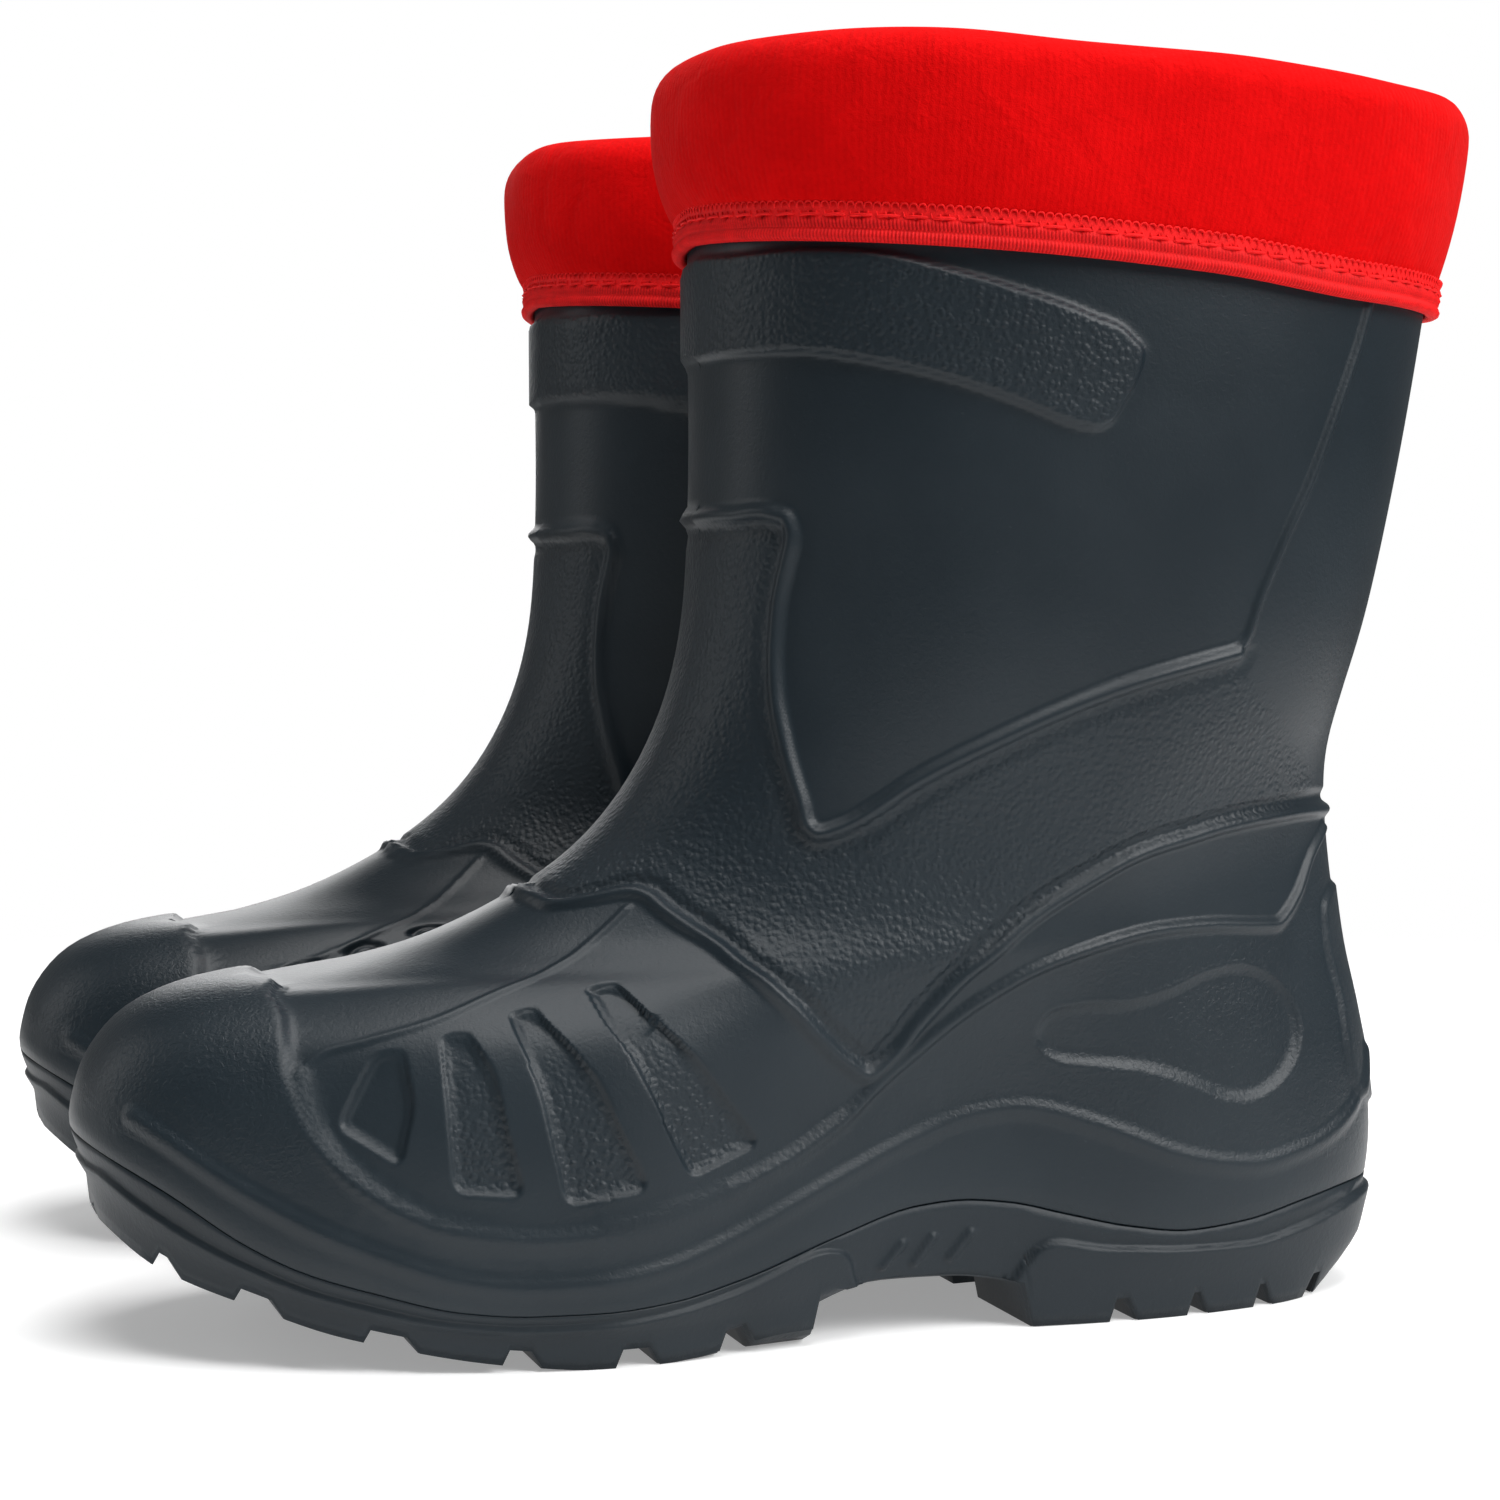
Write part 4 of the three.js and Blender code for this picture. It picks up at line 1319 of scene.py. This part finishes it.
        refine(piece, wanted, count)
        refine(piece, wanted, count)
        flat = coordinates(piece)
        x, y = flat[:, 0], flat[:, 1]
        u, v = depth(x, y)
        _, s, share = level(x, y)
        side = (y >= top) & (y <= top + self.side_rows)
        rise = np.where(y >= top, relief.height(u, v), 0)
        taper = np.clip(-v, 0, None) * SKIN_HEIGHT * 0.12
        points = self.form.place(u, np.clip(v, 0, 1), rise - taper)
        drop = np.clip(v, None, 0) * SKIN_HEIGHT
        points[:, 2] += drop
        low = np.clip((9.5 - points[:, 2]) / 9.5, 0, 1) ** 1.6
        tuck = smooth((np.abs(u) - 0.84) / 0.14) * low * (y >= top)
        self._top(points, u, y)
        self._underside(points, u, v, y, top + self.side_rows, insets, rise - taper)
        points[:, 0] += 8.0 * tuck
        move_vertices(piece, self.form.in_frame(points))
        lug = self._bottom(s) * (y > top + self.side_rows - 1)
        store(piece, "pebble", np.zeros(len(x)))
        store(piece, "grain", np.where(side, 0.12, 0.35) + 0.3 * lug)
        close_up(piece, fill=True)
        deliver(piece, finish, "outsole", "boot")

    def _top(self, points: Array, u: Array, y: Array) -> None:
        """Lays the rows above the parting line flat on the core and rounds the line's edge."""
        for row, pinch in ((0, 0.94), (1, 0.5), (2, 0.0)):
            here = np.rint(y) == row
            inner = self.form.place(u[here], np.full(here.sum(), PARTING), -8.0)
            middle = middle_line(inner[:, 0])
            inner[:, 1] = mix(inner[:, 1], middle, pinch)
            inner[:, 2] = core_top(inner[:, 0]) - GAP
            points[here] = inner
        edge = np.rint(y) == 3
        points[edge] = self.form.place(u[edge], np.full(edge.sum(), PARTING - 0.0002), -0.45)

    def _underside(self, points: Array, u: Array, v: Array, y: Array, start: int,
                   insets: Sequence[float], out: Array) -> None:
        """Lays the rows under the sole: the lugs' chamfers and faces, then the middle."""
        half = np.rint(y).astype(int)
        for i in range(len(insets) + len(MIDDLE_SHARES)):
            here = half == start + 1 + i
            if not here.any():
                continue
            low = np.clip(v[here], None, 0) * SKIN_HEIGHT
            edge = self.form.place(u[here], np.zeros(here.sum()), out[here])
            middle = middle_line(edge[:, 0])
            reach = np.abs(edge[:, 1] - middle)
            if i < len(insets):
                share = np.clip(1 - insets[i] / np.maximum(reach, 1), 0.16, 1)
            else:
                share = np.full(len(reach), MIDDLE_SHARES[i - len(insets)])
            core = underside_z(edge[:, 0])
            sunk = self._waist_rise(edge[:, 0]) * min(1.0, insets[min(i, 5)] / 5)
            foot = low + core - sunk - (0 if i == 0 else 0.5)
            edge[:, 1] = middle + (edge[:, 1] - middle) * share
            edge[:, 2] = np.where(i < len(insets), np.minimum(foot, core), core)
            points[here] = edge


# ---- liner --------------------------------------------------------------------------------------
@dataclass
class Liner:
    """The fleece sock: felt sole, foot, leg, and the cuff folded out over the rim."""

    form: BootForm
    columns: int = 176

    def _sheet(self, name: str, rows: Sequence[Row],
               extra: Callable[[Array, Array], Array] | None = None) -> bpy.types.Object:
        """A closed sheet whose rows run round its section."""
        wrap = Wrap(self.form, [*rows, rows[0]], self.columns)
        piece = wrap.grid(name)
        flat = coordinates(piece)
        x, y = flat[:, 0], flat[:, 1]
        more = extra(wrap.around(x), y) if extra else 0.0
        move_vertices(piece, self.form.in_frame(wrap.points(x, y, more)))
        close_up(piece, fill=False)
        return piece

    def build(self, finishes: Finishes) -> None:
        """Makes the liners of both boots."""
        trims = [self.binding(finishes), self.stitches(finishes), self.seam(finishes)]
        self.cuff(finishes)
        self.leg(finishes)
        self.foot(finishes)
        self.sole(finishes)

    def cuff(self, finishes: Finishes) -> None:
        """The plump fold over the rim and down to the hem."""
        inside = WALL + LEG_CLEARANCE
        face = ((0, 1.9, 0), (0.04, 2.5, 0), (0.13, 3.3, 0), (0.3, 4.3, 0), (0.5, 5.0, 0),
                (0.75, 5.4, 0), (1, 5.4, 0.2), (1, 5.1, 2.2), (1, 4.3, 4.0), (1, 2.9, 5.5),
                (1, 1.0, 6.5), (1, -1.0, 6.8), (1, -2.9, 6.5), (1, -4.7, 5.5), (1, -6.2, 3.8),
                (1, -7.1, 1.8))
        lining = ((-inside - LINER, 0.994), (-inside - LINER, 0.988), (-inside - 0.2, 0.988),
                  (-inside + 0.1, 0.997))
        back = ((1, -4.4, 1.6), (1, -2.4, 2.6), (1, 0.0, 2.4), (1, 1.4, 1.0), (0.8, 2.1, 0),
                (0.5, 1.9, 0), (0.2, 1.1, 0), (0, 0.8, 0))
        rows = [("face", *point) for point in face]
        rows += [("lining", out, level) for out, level in lining]
        rows += [("face", *point) for point in back]
        closed = [*rows, rows[0]]
        piece = flat_grid("left_liner_cuff_look", self.columns, len(closed) - 1)
        flat = coordinates(piece)
        x, y = flat[:, 0], np.rint(flat[:, 1]).astype(int)
        u = x / self.columns * 2 - 1
        u = np.where(u <= -1 + 1e-6, 1.0, u)
        points = np.zeros((len(x), 3))
        for i, row in enumerate(closed):
            here = y == i
            if row[0] == "face":
                share, out, lift = row[1:]
                level = mix(hem_top(u[here]), 1.0, share)
                wave = self._undulation(u[here], share, lift) * (i < len(face))
                rear = (1 - np.cos(math.pi * u[here])) / 2
                proud = out * (mix(1.08, 0.58, rear) if out > 2.4 else 1) + wave[0]
                rise = lift * mix(1.06, 0.84, rear) + wave[1]
                points[here] = self.form.place(u[here], level, proud, rise)
            else:
                points[here] = self.form.place(u[here], np.full(here.sum(), row[2]), row[1])
        move_vertices(piece, self.form.in_frame(points))
        close_up(piece, fill=False)
        finer = piece.modifiers.new("finer", "SUBSURF")
        finer.levels = finer.render_levels = 1
        bpy.ops.object.modifier_apply(modifier=finer.name)
        pair = deliver(piece, finishes.fleece, "liner_cuff", "liner")

    def _undulation(self, u: Array, share: float, lift: float) -> Array:
        """Soft waves of the fold, out and up, in millimetres."""
        turn = u * math.pi
        broad = 0.45 * np.sin(3 * turn + 0.8) + 0.3 * np.sin(5 * turn + 2.1 + 2 * share)
        small = (0.18 * np.sin(11 * turn + 0.4 + 3 * share)
                 + 0.12 * np.sin(17 * turn + 1.3 - 4 * share))
        body = smooth(share / 0.4)
        crest = 0.5 * np.sin(2 * turn + 0.6) + 0.25 * np.sin(7 * turn + 1.9)
        return np.stack([(broad + small) * body, crest * smooth(lift / 6)])

    def binding(self, finishes: Finishes) -> dict[str, bpy.types.Object]:
        """The rolled, ribbed edge and the overlocked tape above it."""
        ribs = 610
        per_rib = 4
        section = ((0.1, 0.35, 0.0), (-0.15, 1.0, 0.5), (-0.1, 1.7, 1.0), (0.35, 2.3, 1.0),
                   (0.95, 2.45, 1.0), (1.5, 2.2, 0.8), (1.85, 1.95, 0.2), (2.1, 2.1, 0.9),
                   (2.9, 2.25, 1.0), (3.4, 2.15, 0.5), (3.6, 2.05, 0.0), (3.9, 2.0, 0.0),
                   (4.2, 2.0, 0.0), (4.6, 2.0, 0.0), (5.0, 2.0, 0.0),
                   (5.8, 2.0, 0.0), (6.0, 1.6, 0.0), (5.8, 1.0, 0.0), (1.2, 0.45, 0.0))
        closed = [*section, section[0]]
        columns = ribs * per_rib
        piece = flat_grid("left_hem_binding_look", columns, len(closed) - 1)
        flat = coordinates(piece)
        x, y = flat[:, 0], np.rint(flat[:, 1]).astype(int)
        u = np.where(x < 0.5, 1.0, x / columns * 2 - 1)
        rise, out, ribbed = np.array(closed)[y].T
        slant = np.where(rise > 2, rise * 0.35, rise * 0.1)
        wave = np.abs(np.sin(math.pi * (x / per_rib + slant)))
        out = out + 0.42 * ribbed * (wave - 0.5)
        between = np.abs(((x / columns * HEM_LENGTH / STITCH_PITCH) % 1) - 0.5) * STITCH_PITCH
        hole = hump((2.15 - between) / 0.55) * hump((rise - 3.9) / 0.7)
        out = out - 0.5 * hole
        # painted shade mask: 1 in the valleys between the ribs and in the stitch holes, where the
        # binding's colour is darkened
        store(piece, "valley", np.clip(0.85 * ribbed * (1 - wave) + 1.2 * hole, 0, 1))
        points = self.form.place(u, hem_level(np.abs(u)), out)
        points = points + self._up(u) * rise[:, None]
        move_vertices(piece, self.form.in_frame(points))
        close_up(piece, fill=False)
        return deliver(piece, finishes.binding, "hem_binding", "liner")

    def _up(self, u: Array) -> Array:
        """The direction up the shaft at the hem."""
        level = hem_level(np.abs(u))
        step = self.form.place(u, level + 0.02) - self.form.place(u, level - 0.02)
        return step / np.linalg.norm(step, axis=-1, keepdims=True)

    def _frames(self, u: Array, rise: float, out: float) -> Array:
        """Frames on the hem: along it, up it and out of it, from millimetres to the frame."""
        level = hem_level(np.abs(u))
        up = self._up(u)
        here = self.form.place(u, level, out) + up * rise
        along = self.form.place(np.clip(u + 0.004, -1, 1), level) - self.form.place(
            np.clip(u - 0.004, -1, 1), level)
        along /= np.linalg.norm(along, axis=-1, keepdims=True)
        outward = np.cross(up, along)
        outward /= np.linalg.norm(outward, axis=-1, keepdims=True)
        axes = np.stack([along, up, outward], -1) * MM
        axes[:, 0] *= -1
        return np.concatenate([axes, self.form.in_frame(here)[..., None]], -1)

    def _loop_of_thread(self, points: Points, radius: float) -> bpy.types.Object:
        """A short length of thread through points, as a mesh in millimetres."""
        bpy.ops.object.select_all(action="DESELECT")
        line = bpy.data.curves.new("thread", "CURVE")
        line.dimensions = "3D"
        line.bevel_depth = radius
        line.bevel_resolution = 0
        line.resolution_u = 3
        line.use_fill_caps = True
        spline = line.splines.new("NURBS")
        spline.points.add(len(points) - 1)
        for knot, point in zip(spline.points, points):
            knot.co = (*point, 1)
        spline.use_endpoint_u = True
        spline.order_u = 3
        only(added("thread", line))
        bpy.ops.object.convert(target="MESH")
        return bpy.context.active_object

    def stitches(self, finishes: Finishes) -> dict[str, bpy.types.Object]:
        """The scalloped loops, the short ticks and the straight row of long stitches."""
        kinds = (
            (1.4, 4.75, 2.05, ((-0.68, 0, -0.2), (-0.62, 0.7, 0.12), (-0.35, 1.2, 0.2),
                               (0.35, 1.2, 0.2), (0.62, 0.7, 0.12), (0.68, 0, -0.2)), 0.15),
            (1.4, 4.2, 2.1, ((0.1, -0.35, -0.1), (0.0, 0, 0.22), (-0.1, 0.35, -0.1)), 0.15),
            (STITCH_PITCH, 3.85, 2.0, ((-1.95, 0, -0.4), (-1.5, 0.03, 0.2), (0, 0.12, 0.34),
                                       (1.5, 0.03, 0.2), (1.95, 0, -0.4)), 0.25),
        )
        rows = []
        for index, (pitch, rise, out, points, radius) in enumerate(kinds):
            count = round(HEM_LENGTH / pitch)
            u = (np.arange(count) + (0.5 if pitch < 4 else 0.0)) / (HEM_LENGTH / pitch) * 2 - 1
            pattern = self._loop_of_thread(points, radius)
            rows.append(strew(f"stitch_row_{index}", pattern, self._frames(u, rise, out)))
        piece = joined("left_hem_thread_look", rows)
        return deliver(piece, finishes.thread, "hem_thread", "liner")

    def seam(self, finishes: Finishes) -> dict[str, bpy.types.Object]:
        """The overlocked seam down the back of the cuff, with its short tail below the hem."""
        rises = np.arange(-2.2, 27, 0.62)
        u = np.ones(len(rises))
        frames = self._frames(u, 0.0, 0.0)
        up = self._up(u)
        share = np.clip((rises - 1.5) / 14, 0, 1)
        out = mix(2.6, 5.7, smooth(share)) - 0.9 * smooth(-rises)
        level = hem_level(u)
        here = self.form.place(u, level, out) + up * rises[:, None]
        frames[:, :, 3] = self.form.in_frame(here)
        pattern = self._loop_of_thread(((-1.1, -0.25, -0.5), (-0.8, -0.2, 0.2), (0, 0, 0.45),
                                        (0.8, 0.2, 0.2), (1.1, 0.25, -0.5)), 0.3)
        piece = strew("left_back_seam_look", pattern, frames)
        return deliver(piece, finishes.thread, "back_seam", "liner")

    def leg(self, finishes: Finishes) -> None:
        """The tube in the shaft."""
        out = -(WALL + LEG_CLEARANCE)
        levels = np.linspace(LEG_START, 0.986, 12)
        rows = [*[Row(v, out) for v in levels],
                Row(0.9895, out - 0.3), Row(0.9895, out - LINER + 0.3),
                *[Row(v, out - LINER) for v in levels[::-1]]]
        piece = self._sheet("left_liner_leg_look", rows,
                            lambda u, y: 0.25 * np.sin(9 * math.pi * u))
        for side, each in deliver(piece, finishes.fleece, "liner_leg", "liner").items():
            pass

    def foot(self, finishes: Finishes) -> None:
        """The sock's foot, open above and below."""
        out = -(WALL + LEG_CLEARANCE)
        levels = np.linspace(0.25, LEG_START - 0.004, 30)

        def base(s: Array) -> Array:
            """Height of the sock's lower edge, on its felt sole."""
            return floor_top(s) + 2 * GAP + LINER + 0.5

        rows = [
            Row(0.16, out - 2, 0, base), Row(0.2, out - 0.6, 0, lambda s: floor_top(s) + 10),
            *[Row(v, out) for v in levels],
            Row(LEG_START + 0.003, out - 0.35), Row(LEG_START + 0.003, out - LINER + 0.35),
            *[Row(v, out - LINER) for v in levels[::-1]],
            Row(0.2, out - LINER - 0.6, 0, lambda s: floor_top(s) + 10),
            Row(0.16, out - LINER - 2, 0, base)]
        piece = self._sheet("left_liner_foot_look", rows)
        for side, each in deliver(piece, finishes.fleece, "liner_foot", "liner").items():
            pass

    def sole(self, finishes: Finishes) -> None:
        """The felt insole on the shell's floor."""
        inset = -(WALL + 4)

        def low(s: Array) -> Array:
            """Height of the felt's underside."""
            return floor_top(s) + GAP

        def high(s: Array) -> Array:
            """Height of the felt's top."""
            return floor_top(s) + GAP + LINER + 0.5

        rows = [Row(0.16, inset, 0, low, 0.94), Row(0.16, inset, 0, low, 0.5),
                Row(0.16, inset - 0.4, 0, low), Row(0.16, inset, 0, lambda s: low(s) + 0.5),
                Row(0.16, inset, 0, lambda s: high(s) - 0.5), Row(0.16, inset - 0.4, 0, high),
                Row(0.16, inset, 0, high, 0.5), Row(0.16, inset, 0, high, 0.94)]
        wrap = Wrap(self.form, rows, self.columns)
        piece = wrap.grid("left_liner_sole_look")
        flat = coordinates(piece)
        points = wrap.points(flat[:, 0], flat[:, 1])
        move_vertices(piece, self.form.in_frame(points))
        close_up(piece, fill=True)
        for side, each in deliver(piece, finishes.felt, "liner_sole", "liner").items():
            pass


# ---- studio -------------------------------------------------------------------------------------
@dataclass
class Studio:
    """The pale floor, the soft lights and the camera."""

    eye: tuple[float, float, float] = (-0.1658, -0.5547, 0.1127)
    turn: float = math.radians(17.4)
    pitch: float = math.atan(130 / 3200)
    lens: float = 76.8
    sensor: float = 36.0

    def camera(self) -> None:
        """Places the camera at the height of the ankles, a little off the boots' side."""
        data = bpy.data.cameras.new("camera")
        data.lens, data.sensor_width = self.lens, self.sensor
        camera = added("camera", data)
        camera.location = self.eye
        camera.rotation_euler = (math.pi / 2 - self.pitch, 0, -self.turn)
        bpy.context.scene.camera = camera

    def floor(self) -> None:
        """A flat floor under the boots."""
        bpy.ops.object.select_all(action="DESELECT")
        bpy.ops.mesh.primitive_plane_add(size=3, location=(0, 0, -0.0002))
        floor = bpy.context.active_object
        floor.name = "floor"
        floor.data.materials.append(PaleFloor().build())

    def _panel(self, name: str, place: tuple[float, float, float], size: tuple[float, float],
               power: float, target: tuple[float, float, float] = (0, 0, 0.09)) -> None:
        """A soft rectangular light that faces a target."""
        data = bpy.data.lights.new(name, "AREA")
        data.shape = "RECTANGLE"
        data.size, data.size_y = size
        data.energy = power
        light = added(name, data)
        light.location = place
        direction = Vector(target) - Vector(place)
        light.rotation_euler = direction.to_track_quat("-Z", "Y").to_euler()

    def lights(self) -> None:
        """Soft panels above and beside the boots, and a bright pale surround."""
        self._panel("overhead", (0.1, -0.1, 1.4), (1.2, 0.9), 17)
        self._panel("key", (1.0, -1.1, 1.05), (0.9, 0.8), 27)
        self._panel("front", (-0.1, -0.8, 1.3), (0.5, 0.4), 5)
        self._panel("strip", (-1.2, 0.65, 0.6), (0.3, 0.9), 2.4)
        self._panel("rim", (0.5, 1.6, 0.5), (1.2, 0.5), 9)
        self._surround()
        bpy.context.scene.view_settings.view_transform = "Standard"

    def _surround(self) -> None:
        """A dim even surround that looks white itself."""
        world = bpy.data.worlds.new("surround")
        world.use_nodes = True
        tree = world.node_tree
        dim = tree.nodes["Background"]
        white = tree.nodes.new("ShaderNodeBackground")
        seen = tree.nodes.new("ShaderNodeLightPath")
        blend = tree.nodes.new("ShaderNodeMixShader")
        for background, level in ((dim, 0.13), (white, 1.0)):
            background.inputs["Color"].default_value = grey(1.0)
            background.inputs["Strength"].default_value = level
        tree.links.new(seen.outputs["Is Camera Ray"], blend.inputs[0])
        tree.links.new(dim.outputs[0], blend.inputs[1])
        tree.links.new(white.outputs[0], blend.inputs[2])
        tree.links.new(blend.outputs[0], tree.nodes["World Output"].inputs["Surface"])
        bpy.context.scene.world = world

    def build(self) -> None:
        """Sets up the whole studio."""
        self.camera()
        self.floor()
        self.lights()


def corners(bounds: Any) -> list[list[float]]:
    """A box's lowest and highest corner as plain lists."""
    return [[float(c) for c in corner] for corner in bounds]


def main() -> None:
    """Builds the pair and its studio."""
    logging.basicConfig(level=logging.INFO, format="%(name)s: %(message)s")
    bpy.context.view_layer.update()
    studio = Studio()
    studio.build()
    form = BootForm()
    LOG.info("form ready")
    finishes = Finishes()
    UpperShell(form).build(finishes.foam)
    Outsole(form).build(finishes.sole)
    Liner(form).build(finishes)


if __name__ == "__main__":
    main()
